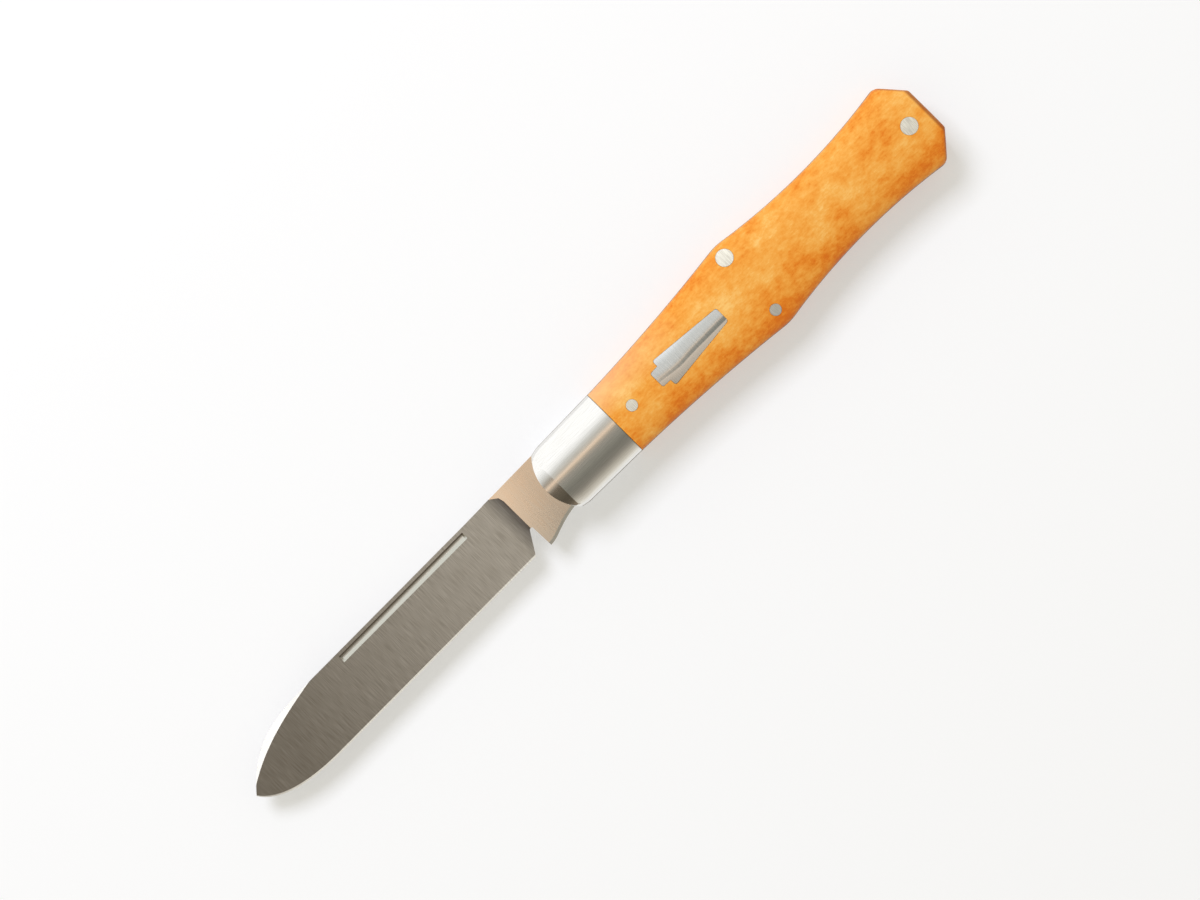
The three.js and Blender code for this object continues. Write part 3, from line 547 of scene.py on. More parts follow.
def tang_outline():
    """Plan of the tang: the shoulder, the square end that the spring lies on, the belly and the kick."""
    return closed_rounded([
        (PLUNGE_X, height_on(SPINE, PLUNGE_X)),
        (SHOULDER_X, SPINE_Y + SPINE_RISE),
        (SHOULDER_X, CAM_HALF_WIDTH, SHOULDER_FOOT_RADIUS),
        (CAM_HALF_WIDTH, CAM_HALF_WIDTH, CAM_CORNER_RADIUS),
        (CAM_HALF_WIDTH, -CAM_HALF_WIDTH, CAM_CORNER_RADIUS),
        (-CAM_CORNER_RADIUS, -CAM_HALF_WIDTH, CAM_FOOT_RADIUS),
        *[tuple(p) for p in BELLY],
        (PLUNGE_X, NOTCH_BACK.y - NOTCH_RADIUS),
    ])


def notch_outline():
    """Plan of the sharpening notch, which narrows upwards between the kick and the heel."""
    below = NOTCH_FRONT + (Vector((HEEL_X, EDGE_Y)) - NOTCH_FRONT) * NOTCH_REACH
    return closed_rounded([
        (KICK.x, KICK.y),
        (*NOTCH_BACK, NOTCH_RADIUS),
        (*NOTCH_FRONT, NOTCH_RADIUS),
        (below.x, below.y),
        (KICK.x, below.y),
    ])


def shield_outline(ring):
    """Plan of the shield, wider by a ring all around."""
    half = []
    for i, (along, width, radius) in enumerate(SHIELD_FROM_JUNCTION):
        side = ring if i == 0 else -ring
        half.append((JUNCTION_X + along * MM + side, width * MM + ring, radius * MM))
    back = [(x, CENTRELINE_Y + y, radius) for x, y, radius in half]
    belly = [(x, CENTRELINE_Y - y, radius) for x, y, radius in reversed(half)]
    return closed_rounded(back + belly)


# The handle's pieces


def across_at(width):
    """Places across a cover, closer together towards its edges."""
    inner = width - RIM_INSET
    turns = [math.pi * (i / COVER_STEPS_ACROSS - 0.5) for i in range(COVER_STEPS_ACROSS + 1)]
    return [inner * math.sin(turn) for turn in turns]


def scale_rows():
    """The dome of a scale, from the junction to the butt."""
    body = [mix(JUNCTION_X, BUTT_CORNER_X, i / SCALE_STEPS) for i in range(1, SCALE_STEPS + 1)]
    corner = [p.x for p in SIDE if p.x > BUTT_CORNER_X - BUTT_CORNER_RADIUS / 2]
    slant = [mix(BUTT_CORNER_X, BUTT_X, i / BUTT_STEPS) for i in range(1, BUTT_STEPS)]
    turns = [math.pi / 2 * i / BUTT_EDGE_STEPS for i in range(BUTT_EDGE_STEPS)]
    edge = [BUTT_X - BUTT_EDGE_RADIUS * (1 - math.sin(turn)) for turn in turns]
    stations = [JUNCTION_X + JOINT]
    for x in sorted([*body, *corner, *slant, *edge]):
        if x - stations[-1] > SCALE_LEAST_STEP and BUTT_X - x > SCALE_LEAST_STEP:
            stations.append(x)
    rows = []
    for x in [*stations, BUTT_X]:
        width = SIDE[-1].y if x == BUTT_X else half_width(x)
        rows.append([(x, CENTRELINE_Y + y, COVER_Z + cover_height(x, y)) for y in across_at(width)])
    return rows


def bolster_rows():
    """The bolster's dome with its oblique nose: up the wall and the bevel, then back to the junction."""
    edge = across_at(NOSE_HALF_WIDTH)
    rows = [[(nose_front(y, 0), CENTRELINE_Y + y, COVER_Z) for y in edge]]
    for step in range(BEVEL_STEPS + 1):
        share = step / BEVEL_STEPS
        row = []
        for y in edge:
            dome = cover_height(NOSE_CORNER_X, y)
            wall = dome - NOSE_BEVEL_SLOPE * (nose_front(y, dome) - nose_front(y, 0))
            x = nose_front(y, mix(COVER_EDGE_HEIGHT, dome, share))
            row.append((x, CENTRELINE_Y + y, COVER_Z + mix(wall, dome, share)))
        rows.append(row)
    for step in range(1, BOLSTER_STEPS + 1):
        share = step / BOLSTER_STEPS
        near_x = mix(NOSE_CORNER_X, JUNCTION_X, share)
        row = []
        for nose_y, y in zip(edge, across_at(half_width(near_x))):
            height = cover_height(near_x, y)
            x = mix(nose_front(nose_y, height), JUNCTION_X, share)
            row.append((x, CENTRELINE_Y + y, COVER_Z + height))
        rows.append(row)
    return rows


def make_bolsters():
    front = solid_above("polished_front_bolster", bolster_rows(), COVER_Z)
    soften(front, BOLSTER_EASE, degrees=18)
    smooth(front, COVER_SMOOTH)
    rear = mirrored(front, "polished_rear_bolster")
    smooth(rear, COVER_SMOOTH)
    for piece, node in ((front, "front_bolster"), (rear, "rear_bolster")):
        finish(piece, "handle", "bolster_steel", BOLSTER_STEEL, node)


PIN_NODES = ["scale_pin_bolster_end", "scale_pin_belly"]
RIVET_NODES = ["spring_centre_pin", "butt_pin"]


def make_scales():
    """Both scales, drilled for their pins; the front one has a pocket for the shield."""
    sunk_rows = [[(x, y, z - SUNK) for x, y, z in row] for row in scale_rows()]
    front = solid_above("dyed_front_scale", sunk_rows, COVER_Z)
    holes = [(middle_of("front_" + node), SMALL_PIN_RADIUS) for node in PIN_NODES]
    holes += [(middle_of(node), RIVET_HEAD_RADIUS) for node in RIVET_NODES]
    for place, radius in holes:
        cut(front, rod("drill", place, radius + RING, LINER_Z, CROWN_Z + ABOVE))
    rear = mirrored(front, "dyed_rear_scale")
    floor = CROWN_Z - SHIELD_THICKNESS
    cut(front, plate("pocket", shield_outline(RING), floor, CROWN_Z + ABOVE))
    for piece, node in ((front, "front_scale"), (rear, "rear_scale")):
        smooth(piece, COVER_SMOOTH)
        finish(piece, "handle", "dyed_bone", DYED_BONE, node)


def make_flush(pin, steel, node):
    """Trims a rod to the outside of both scales, so that its ends follow their dome."""
    cut(pin, twofold("trim", scale_rows()), "INTERSECT")
    soften(pin, PIN_EASE, degrees=45)
    smooth(pin, PLATE_SMOOTH)
    finish(pin, "handle", "pin_steel", steel, node)


def make_scale_pins():
    """The two small pins of each scale; the one at the belly gets painted shade, a greyer steel."""
    spans = {"front": (LINER_Z, CROWN_Z + ABOVE), "rear": (TABLE_Z - ABOVE, 2 * MIDDLE_Z - LINER_Z)}
    for side, (low, high) in spans.items():
        for pin_node in PIN_NODES:
            node = f"{side}_{pin_node}"
            pin = rod("sanded_" + node, middle_of(node), SMALL_PIN_RADIUS, low, high)
            make_flush(pin, SHADED_BELLY_PIN_STEEL if "belly" in node else PIN_STEEL, node)


def make_rivets():
    """The two pins that go through the whole handle, with a head on each side."""
    seat = COVER_Z + RIVET_SEAT
    for node in RIVET_NODES:
        place = middle_of(node)
        pin = rod("sanded_" + node, place, RIVET_HEAD_RADIUS, TABLE_Z - ABOVE, CROWN_Z + ABOVE)
        ring = rod("ring", place, RIVET_HEAD_RADIUS + ABOVE, 2 * MIDDLE_Z - seat, seat)
        cut(ring, rod("shank", place, SMALL_PIN_RADIUS, TABLE_Z, CROWN_Z))
        cut(pin, ring)
        make_flush(pin, PIN_STEEL, node)


def shield_row(share):
    """(y, height) across the shield in millimetres; its crease deepens with the share."""
    lean = [Vector((place, mix(near, far, share))) for place, near, far in SHIELD_LEAN]
    step = (lean[-1].x - lean[0].x) / SHIELD_STEPS_ACROSS
    row = [(lean[0].x, 0)]
    for _ in range(SHIELD_STEPS_ACROSS):
        y, height = row[-1]
        row.append((y + step, height - step * height_on(lean, y + step / 2)))
    highest = max(height for _, height in row)
    return [(y, height - highest) for y, height in row]


def shield_form():
    """A shallow roof over the shield, with a soft crease along it, as a tool that shapes its face."""
    crease = [Vector(place) for place in SHIELD_CREASE]
    rows = []
    for station in range(SHIELD_STEPS + 1):
        share = station / SHIELD_STEPS
        along = mix(crease[0].x, crease[-1].x, share)
        x = JUNCTION_X + along * MM
        middle_y = CENTRELINE_Y + height_on(crease, along) * MM
        rows.append([(x, middle_y + y * MM, CROWN_Z + z * MM) for y, z in shield_row(share)])
    return solid_above("roof", rows, MIDDLE_Z)


def make_shield():
    shield = plate("satin_shield", shield_outline(0), CROWN_Z - SHIELD_THICKNESS, CROWN_Z + ABOVE)
    cut(shield, shield_form(), "INTERSECT")
    soften(shield, SHIELD_EASE, degrees=45)
    smooth(shield, PLATE_SMOOTH)
    finish(shield, "handle", "shield_steel", SHIELD_STEEL, "shield")


def make_liners():
    front = plate("satin_front_liner", handle_outline(), LINER_Z, COVER_Z)
    soften(front, LINER_EASE, degrees=60)
    smooth(front, PLATE_SMOOTH)
    rear = mirrored(front, "satin_rear_liner")
    smooth(rear, PLATE_SMOOTH)
    for piece, node in ((front, "front_liner"), (rear, "rear_liner")):
        finish(piece, "handle", "liner_steel", LINER_STEEL, node)


def make_spring():
    spring = plate("satin_backspring", spring_outline(), 2 * MIDDLE_Z - LINER_Z, LINER_Z)
    soften(spring, SPRING_EASE, degrees=60)
    smooth(spring, PLATE_SMOOTH)
    finish(spring, "handle", "liner_steel", LINER_STEEL, "backspring")


# The blade, with its tang


def grind(above_edge):
    """Half-thickness of the ground blade at a distance above its edge."""
    if above_edge < EDGE_BEVEL_WIDTH:
        return mix(EDGE_HALF, EDGE_BEVEL_HALF, above_edge / EDGE_BEVEL_WIDTH)
    share = (above_edge - EDGE_BEVEL_WIDTH) / (SPINE_Y - EDGE_Y - EDGE_BEVEL_WIDTH)
    return mix(EDGE_BEVEL_HALF, BLADE_HALF, min(1, share))


def blade_row(x):
    """(y, half-thickness) across the blade: edge, bevel, flat, swedge line and spine."""
    edge = height_on(EDGE, x)
    spine = height_on(SPINE, x)
    bevel = min(EDGE_BEVEL_WIDTH, (spine - edge) / 3)
    inside = SWEDGE_END_X < x < SWEDGE_START_X
    swedge = min(spine, height_on(SWEDGE, x)) if inside else spine
    flat_top = max(swedge, edge + bevel)
    places = [edge, *[mix(edge + bevel, flat_top, i / GRIND_STEPS) for i in range(GRIND_STEPS + 1)]]
    row = [(y, grind(y - edge)) for y in places]
    deep = min(1, (spine - row[-1][0]) / SWEDGE_FULL_WIDTH)
    row.append((spine, mix(row[-1][1], min(row[-1][1], SWEDGE_HALF), deep)))
    return row


def plunge(y):
    """Where the grind starts: straight up from the notch, bending towards the tip below the spine."""
    share = min(1, max(0, (y - PLUNGE_CURVE_Y) / (SPINE_Y - PLUNGE_CURVE_Y)))
    return PLUNGE_X - PLUNGE_CURVE_RUN * (1 - math.sqrt(1 - share**2))


def blade_rows():
    """Half of the ground blade, from inside the tang over the plunge to the tip."""
    across = blade_row(PLUNGE_X)
    rows = [[(PLUNGE_X + ABOVE, y, BLADE_HALF) for y, _ in across]]
    for step in range(PLUNGE_STEPS + 1):
        turn = math.pi / 2 * step / PLUNGE_STEPS
        run = PLUNGE_RUN * (1 - math.cos(turn))
        rows.append([(plunge(y) - run, y, mix(BLADE_HALF, z, math.sin(turn))) for y, z in across])
    start = PLUNGE_X - PLUNGE_CURVE_RUN - PLUNGE_RUN - PLUNGE_END_MARGIN
    straight = [mix(start, SWEDGE_START_X, i / BLADE_STEPS) for i in range(BLADE_STEPS + 1)]
    curved = [p.x for p in [*SPINE, *EDGE] if p.x < SWEDGE_START_X - SWEDGE_MARGIN]
    stations = []
    for x in sorted([SPINE_RISE_X, *straight, *curved], reverse=True):
        if not stations or stations[-1] - x > BLADE_LEAST_STEP:
            stations.append(x)
    stations[-1] = TIP_X
    rows += [[(x, y, z) for y, z in blade_row(x)] for x in stations]
    return [[(x, y, MIDDLE_Z + z) for x, y, z in row] for row in rows]


def pull_section(deep):
    """The nail's groove across: a floor that falls from the lower edge and turns up into the upper wall."""
    run, fall = PULL_SLOPE
    lower = Vector((PULL_LOWER_Y, grind(PULL_LOWER_Y - EDGE_Y)))
    upper = Vector((PULL_UPPER_Y, grind(PULL_UPPER_Y - EDGE_Y)))
    first = lower + Vector((run, -fall * deep)) * MM
    foot = upper - Vector((0, PULL_FOOT * deep)) * MM
    return bezier([lower, first, foot, upper], PULL_STEPS)


def pull_tool():
    """A cutter for the nail's groove, with both ends run out."""
    rows = []
    places = ((PULL_START_X, 0), (PULL_START_X + PULL_RAMP, 1), (PULL_END_X - PULL_RAMP, 1), (PULL_END_X, 0))
    for x, deep in places:
        rows.append([(x, p.x, MIDDLE_Z + p.y + PULL_LIFT * (1 - deep)) for p in pull_section(deep)])
    return wedge("groove", rows, MIDDLE_Z + BLADE_HALF + ABOVE)


def chamfer_tool(side):
    """A wedge along the tang's belly, from the bolster to the kick, on its upper (1) or lower (-1) face."""
    drop = TANG_CHAMFER_DEPTH * (1 + ABOVE / TANG_CHAMFER)
    below = MIDDLE_Z + side * (BLADE_HALF - drop)
    face = MIDDLE_Z + side * BLADE_HALF
    rows = [[(p.x, p.y - ABOVE, below), (p.x, p.y + TANG_CHAMFER, face)] for p in BELLY]
    return wedge("chamfer", rows, MIDDLE_Z + side * (BLADE_HALF + ABOVE))


# The blade's steels, in the order of its material slots
GROUND, TANG, HONED, MILLED, WALL, CHAMFER = range(6)

# How upright the normals of their faces are, from 0 on a side to 1 on a flat face
SIDE_MOST = 0.95
FLAT_LEAST = 0.999
GROOVE_MOST = 0.99
BEVEL_LEAST = 0.3
BEVEL_MOST = 0.95
SWEDGE_LEAST = 0.1


def steel_of(face):
    """Which of the blade's steels a face shows."""
    x, y, z = face.center
    upright = abs(face.normal.z)
    if x > PLUNGE_X and upright < SIDE_MOST:
        return CHAMFER
    if x > PLUNGE_X or upright > FLAT_LEAST and x > PLUNGE_X - PLUNGE_CURVE_RUN - PLUNGE_END_MARGIN:
        return TANG
    in_pull = PULL_START_X < x < PULL_END_X and PULL_LOWER_Y < y < PULL_UPPER_Y
    if in_pull and z > MIDDLE_Z and upright < GROOVE_MOST:
        return WALL if y > PULL_UPPER_Y - PULL_SHADE else MILLED
    on_bevel = y - height_on(EDGE, x) < EDGE_BEVEL_WIDTH
    if x < HEEL_X and on_bevel and BEVEL_LEAST < upright < BEVEL_MOST:
        return HONED
    if SWEDGE_END_X < x < SWEDGE_START_X and y > height_on(SWEDGE, x) and upright > SWEDGE_LEAST:
        return HONED
    return GROUND


def make_blade():
    blade = twofold("ground_blade", blade_rows())
    tang = plate("tang", tang_outline(), MIDDLE_Z - BLADE_HALF, MIDDLE_Z + BLADE_HALF)
    cut(blade, tang, "UNION")
    cut(blade, plate("notch", notch_outline(), TABLE_Z, CROWN_Z))
    cut(blade, pull_tool())
    cut(blade, chamfer_tool(1))
    cut(blade, chamfer_tool(-1))
    cut(blade, rod("bore", (0, 0), PIVOT_BORE_RADIUS, TABLE_Z, CROWN_Z))
    clean(blade)
    smooth(blade, BLADE_SMOOTH)
    finish(blade, "blade", "blade_steel", BLADE_STEEL, "blade")
    for steel in (TANG_STEEL, HONED_HIGHLIGHT_STEEL, GROOVE_STEEL, SHADED_WALL_STEEL, LINER_STEEL):
        blade.data.materials.append(steel)
    for face in blade.data.polygons:
        face.material_index = steel_of(face)


# Materials


def linear(hex_colour):
    """An sRGB hex colour as linear RGBA."""
    channels = [int(hex_colour[i : i + 2], 16) / 255 for i in (1, 3, 5)]
    return (*[c / 12.92 if c <= 0.04045 else ((c + 0.055) / 1.055) ** 2.4 for c in channels], 1)


def add_node(tree, kind, settings=(), inputs=(), stops=()):
    """Adds a node with its settings, its inputs and, for a colour ramp, its (place, colour) stops.

    An input is a value, a socket, or a node whose first output is linked.
    """
    node = tree.nodes.new(kind)
    for key, value in dict(settings).items():
        setattr(node, key, value)
    for key, value in dict(inputs).items():
        source = value.outputs[0] if isinstance(value, bpy.types.Node) else value
        if isinstance(source, bpy.types.NodeSocket):
            tree.links.new(source, node.inputs[key])
        else:
            node.inputs[key].default_value = source
    if stops:
        elements = node.color_ramp.elements
        elements.remove(elements[1])
        elements[0].position, elements[0].color = stops[0]
        for place, colour in stops[1:]:
            elements.new(place).color = colour
    return node


# What the Math and Mix nodes do
ADD = {"operation": "ADD"}
SUBTRACT = {"operation": "SUBTRACT"}
MULTIPLY = {"operation": "MULTIPLY"}
LARGER = {"operation": "MAXIMUM"}
ABSOLUTE = {"operation": "ABSOLUTE"}
BLEND = {"data_type": "RGBA", "blend_type": "MIX"}
TINT = {"data_type": "RGBA", "blend_type": "MULTIPLY"}


def region(tree, limits, most=1.0):
    """A share, up to most, that is full where all limits are met and fades to none.

    A limit is a value, where its share is none and where it is full.
    """
    share = most
    for value, none_at, full_at in limits:
        inputs = {"Value": value, "From Min": none_at, "From Max": full_at}
        met = add_node(tree, "ShaderNodeMapRange", inputs=inputs)
        share = add_node(tree, "ShaderNodeMath", MULTIPLY, {0: share, 1: met})
    return share


def new_material(name):
    """An empty material and its node tree."""
    material = bpy.data.materials.new(name)
    material.use_nodes = True
    material.node_tree.nodes.clear()
    return material, material.node_tree


# Between which values most of the scratches' noise lies, and how far roughness follows it
SCRATCH_LOW = 0.3
SCRATCH_HIGH = 0.7
ROUGHNESS_SPREAD = 0.15


def satin_metal(name, light, dark, roughness, scratch, depth, metallic=1.0):
    """Metal with the fine scratches of its finish, of a size along X, Y and Z, in millimetres.

    Below 1 the metallic share leaves some of the light scattered, as deep scratches do.
    """
    material, tree = new_material(name)
    place = add_node(tree, "ShaderNodeTexCoord").outputs["Object"]
    stretch = [1 / MM / size for size in scratch]
    stretched = add_node(tree, "ShaderNodeMapping", inputs={"Vector": place, "Scale": stretch})
    lines = add_node(tree, "ShaderNodeTexNoise", inputs={"Vector": stretched, "Scale": 1.0, "Detail": 2.0})
    tones = [(SCRATCH_LOW, linear(dark)), (SCRATCH_HIGH, linear(light))]
    tone = add_node(tree, "ShaderNodeValToRGB", inputs={"Fac": lines}, stops=tones)
    rough = add_node(
        tree,
        "ShaderNodeMapRange",
        inputs={
            "Value": lines,
            "From Min": SCRATCH_LOW,
            "From Max": SCRATCH_HIGH,
            "To Min": roughness * (1 - ROUGHNESS_SPREAD),
            "To Max": roughness * (1 + ROUGHNESS_SPREAD),
        },
    )
    bump = add_node(tree, "ShaderNodeBump", inputs={"Height": lines, "Strength": 0.3, "Distance": depth})
    shader = add_node(
        tree,
        "ShaderNodeBsdfPrincipled",
        inputs={"Base Color": tone, "Metallic": metallic, "Roughness": rough, "Normal": bump},
    )
    add_node(tree, "ShaderNodeOutputMaterial", inputs={"Surface": shader})
    return material


def paint_shade(steel, axis, none_at, full_at, tint):
    """Tints a steel step by step along an axis, as painted shade."""
    tree = steel.node_tree
    shader = next(node for node in tree.nodes if node.type == "BSDF_PRINCIPLED")
    plain = shader.inputs["Base Color"].links[0].from_socket
    place = next(node for node in tree.nodes if node.type == "TEX_COORD").outputs["Object"]
    along = add_node(tree, "ShaderNodeSeparateXYZ", inputs={"Vector": place}).outputs[axis]
    share = region(tree, [(along, none_at, full_at)])
    tinted = add_node(tree, "ShaderNodeMix", TINT, {0: share, 6: plain, 7: linear(tint)})
    tree.links.new(tinted.outputs[2], shader.inputs["Base Color"])


# The bone's dye, from its deepest patches to its thinnest
DYE = [(0.26, "#E4750E"), (0.34, "#ED8A20"), (0.45, "#F5A33C"), (0.55, "#F9B453"), (0.66, "#FEC972")]
# Painted sheen colour, paler on the bone's back beside the bolster
PAINTED_SHEEN_COLOUR = "#FFD29C"
# Painted shade colour of the bone's rims
RIM_SHADE_COLOUR = "#9C4A1A"
CLOUD_SIZE = 6 * MM
FIBRE_SIZE = 0.4 * MM
FIBRE_SHARE = 0.22
# Painted sheen: how far it reaches from the bolster and across the back, and its share
SHEEN_LENGTH = 22 * MM
SHEEN_START_Y = CENTRELINE_Y + 1 * MM
SHEEN_FULL_Y = CENTRELINE_Y + 6 * MM
SHEEN_SHARE = 0.6

# Painted shade: where the bone's colour gets darker towards the belly and the back, the places along Y where
# that starts and is full, and how much darker it is
BELLY_PAINTED_SHADE = (CENTRELINE_Y - 1.5 * MM, CENTRELINE_Y - 7.5 * MM, 0.15)
BACK_PAINTED_SHADE = (CENTRELINE_Y + 3.5 * MM, CENTRELINE_Y + 7 * MM, 0.05)

# Painted shade on the bone's rims: where each starts and is full, and how dark it is there
SIDE_RIM_SHADE = (0.5, 0.2, 0.2)  # by how upright the normal is
BUTT_END_SHADE = (BUTT_X - 0.95 * MM, BUTT_X - 0.55 * MM, 0.75)  # by the place along X
CORNER_RIM_SHADE = (0.5 * MM, 0.15 * MM, 0.6)  # by the distance from the slanted corner


def dye_and_shade_of(tree, place, axes):
    """How thin the dye is: clouds with short fibres along the handle, with painted shade that darkens it at
    the belly and the back.
    """
    stretched = add_node(tree, "ShaderNodeMapping", inputs={"Vector": place, "Scale": (0.7, 1.0, 1.0)})
    inputs = {"Vector": stretched, "Scale": 1 / CLOUD_SIZE, "Detail": 6.0, "Roughness": 0.8}
    clouds = add_node(tree, "ShaderNodeTexNoise", inputs=inputs)
    stretched = add_node(tree, "ShaderNodeMapping", inputs={"Vector": place, "Scale": (0.3, 1.0, 1.0)})
    inputs = {"Vector": stretched, "Scale": 1 / FIBRE_SIZE, "Detail": 2.0, "Roughness": 0.7}
    fibres = add_node(tree, "ShaderNodeTexNoise", inputs=inputs)
    centred = add_node(tree, "ShaderNodeMath", SUBTRACT, {0: fibres, 1: 0.5})
    spread = add_node(tree, "ShaderNodeMath", MULTIPLY, {0: centred, 1: FIBRE_SHARE})
    dye_and_shade = add_node(tree, "ShaderNodeMath", ADD, {0: clouds, 1: spread})
    for none_at, full_at, depth in (BELLY_PAINTED_SHADE, BACK_PAINTED_SHADE):
        painted_shade = region(tree, [(axes["Y"], none_at, full_at)], depth)
        dye_and_shade = add_node(tree, "ShaderNodeMath", SUBTRACT, {0: dye_and_shade, 1: painted_shade})
    return dye_and_shade


def rim_shade_of(tree, normal, axes):
    """How much painted shade the bone's rim gets: where it turns down, at the flat butt and at the butt's two
    corners.
    """
    normal_z = add_node(tree, "ShaderNodeSeparateXYZ", inputs={"Vector": normal}).outputs["Z"]
    upright = add_node(tree, "ShaderNodeMath", ABSOLUTE, {0: normal_z})
    to_end = add_node(tree, "ShaderNodeMath", SUBTRACT, {0: BUTT_X, 1: axes["X"]})
    end_part = add_node(tree, "ShaderNodeMath", MULTIPLY, {0: to_end, 1: BUTT_RISE / BUTT_SLANT})
    off_centre = add_node(tree, "ShaderNodeMath", SUBTRACT, {0: axes["Y"], 1: CENTRELINE_Y})
    offset = add_node(tree, "ShaderNodeMath", ABSOLUTE, {0: off_centre})
    to_side = add_node(tree, "ShaderNodeMath", SUBTRACT, {0: BUTT_FLAT_HALF_WIDTH, 1: offset})
    side_part = add_node(tree, "ShaderNodeMath", MULTIPLY, {0: to_side, 1: BUTT_RUN / BUTT_SLANT})
    from_slant = add_node(tree, "ShaderNodeMath", ADD, {0: end_part, 1: side_part})
    rim_shades = [(upright, SIDE_RIM_SHADE), (axes["X"], BUTT_END_SHADE), (from_slant, CORNER_RIM_SHADE)]
    rim_shade = 0.0
    for value, (none_at, full_at, dark) in rim_shades:
        share = region(tree, [(value, none_at, full_at)], dark)
        rim_shade = add_node(tree, "ShaderNodeMath", LARGER, {0: rim_shade, 1: share})
    return rim_shade


def dyed_bone():
    """Smooth bone, dyed and buffed: orange clouds, paler with a painted sheen at the back beside the bolster,
    darker with painted shade at the belly and the back, and with dark rims of painted shade.
    """
    material, tree = new_material("dyed_smooth_bone")
    coordinates = add_node(tree, "ShaderNodeTexCoord").outputs
    place = coordinates["Object"]
    axes = add_node(tree, "ShaderNodeSeparateXYZ", inputs={"Vector": place}).outputs
    dye_and_shade = dye_and_shade_of(tree, place, axes)
    near_bolster = (axes["X"], JUNCTION_X + SHEEN_LENGTH, JUNCTION_X)
    near_back = (axes["Y"], SHEEN_START_Y, SHEEN_FULL_Y)
    sheen = region(tree, [near_bolster, near_back], SHEEN_SHARE)
    rim_shade = rim_shade_of(tree, coordinates["Normal"], axes)
    stops = [(stop, linear(shade)) for stop, shade in DYE]
    orange = add_node(tree, "ShaderNodeValToRGB", inputs={"Fac": dye_and_shade}, stops=stops)
    body = add_node(tree, "ShaderNodeMix", BLEND, {0: sheen, 6: orange, 7: linear(PAINTED_SHEEN_COLOUR)}).outputs[2]
    colour = add_node(tree, "ShaderNodeMix", BLEND, {0: rim_shade, 6: body, 7: linear(RIM_SHADE_COLOUR)}).outputs[2]
    bump = add_node(tree, "ShaderNodeBump", inputs={"Height": dye_and_shade, "Strength": 0.2, "Distance": 0.02 * MM})
    shader = add_node(
        tree,
        "ShaderNodeBsdfPrincipled",
        inputs={"Base Color": colour, "Roughness": 0.42, "IOR": 1.42, "Normal": bump},
    )
    add_node(tree, "ShaderNodeOutputMaterial", inputs={"Surface": shader})
    return material


# Sizes of scratches along X, Y and Z, in millimetres. Real ones are a few hundredths wide, too fine for the
# render, so they are drawn as coarse as they need to show.
ACROSS_BLADE = (0.13, 3.5, 3.5)
ALONG_HANDLE = (3.0, 0.12, 0.12)
ACROSS_PIN = (0.12, 1.8, 1.8)
ACROSS_SHIELD = (0.15, 3.0, 3.0)
TURNED = (0.3, 1.0, 1.0)

# Belt-ground blade: fine lines across it in a warm, dull grey, with painted shade towards the tip and in the
# plunge
BLADE_STEEL = satin_metal(
    "satin_ground_blade_steel", "#E8E2D8", "#C9C2B7", 0.38, ACROSS_BLADE, 0.003 * MM, 0.86
)
# Painted shade: darker towards the tip, and darker still at the foot of the plunge
paint_shade(BLADE_STEEL, "X", PLUNGE_X - 8 * MM, TIP_X + 12 * MM, "#BDBAB6")
paint_shade(BLADE_STEEL, "X", PLUNGE_X - 3.4 * MM, PLUNGE_X - 0.2 * MM, "#A1A0A3")

# Fine satin of the flat tang: an even warm grey that mirrors the dim room, with painted shade towards the
# bolster and a cool painted shade towards the belly
TANG_STEEL = satin_metal("satin_tang_steel", "#FFF6E9", "#F6E9DA", 0.12, ACROSS_BLADE, 0.001 * MM)
paint_shade(TANG_STEEL, "X", PLUNGE_X + 0.5 * MM, PLUNGE_X + 6 * MM, "#EAEAEA")
paint_shade(TANG_STEEL, "Y", CENTRELINE_Y + 5 * MM, CENTRELINE_Y - 6 * MM, "#E6EEF6")

# Honed edge and swedge: strips along the blade with a honed finish, made nearly white as a painted highlight
HONED_HIGHLIGHT_STEEL = satin_metal("honed_edge_highlight_steel", "#FFFDF7", "#F8F5EE", 0.25, ACROSS_BLADE, 0.001 * MM, 0.42)

# Upper wall of the nail's groove: painted shade over the oxide of the milled wall, a dark line below the
# spine
SHADED_WALL_STEEL = satin_metal("shaded_groove_wall_steel", "#857A6F", "#776D63", 0.4, ALONG_HANDLE, 0.001 * MM)

# Milled floor of the nail's groove: a pale band that catches the light
GROOVE_STEEL = satin_metal("milled_groove_steel", "#CBCBC1", "#BEBEB4", 0.32, ALONG_HANDLE, 0.001 * MM)

# Fine satin of the bolsters, with lines along the handle: a soft mirror, bright at the back and dark below
BOLSTER_STEEL = satin_metal("satin_bolster_steel", "#F1F0ED", "#E6E5E1", 0.1, ALONG_HANDLE, 0.0008 * MM)

# Satin of liners, spring and the tang's sides: an even mid grey
LINER_STEEL = satin_metal("satin_liner_steel", "#B3AFA5", "#A09C92", 0.35, ALONG_HANDLE, 0.002 * MM)

# Pins sanded flush with the bone: light, matt discs with short scratches
PIN_STEEL = satin_metal("sanded_pin_steel", "#FFFCEE", "#D6D1C2", 0.5, ACROSS_PIN, 0.003 * MM, 0.5)

# The belly's pins, in painted shade: a greyer copy of the pin steel
SHADED_BELLY_PIN_STEEL = satin_metal("dull_pin_steel", "#DCD9CF", "#C3C0B5", 0.5, ACROSS_PIN, 0.003 * MM, 0.5)

# Satin shield: a cool grey that darkens along its crease
SHIELD_STEEL = satin_metal("satin_shield_steel", "#ECEFF0", "#E0E3E4", 0.15, ACROSS_SHIELD, 0.001 * MM)

# Turned brass of the bushing inside the tang: a dull yellow ring
BRASS = satin_metal("turned_bushing_brass", "#D8B36A", "#B08A42", 0.3, TURNED, 0.002 * MM)

DYED_BONE = dyed_bone()

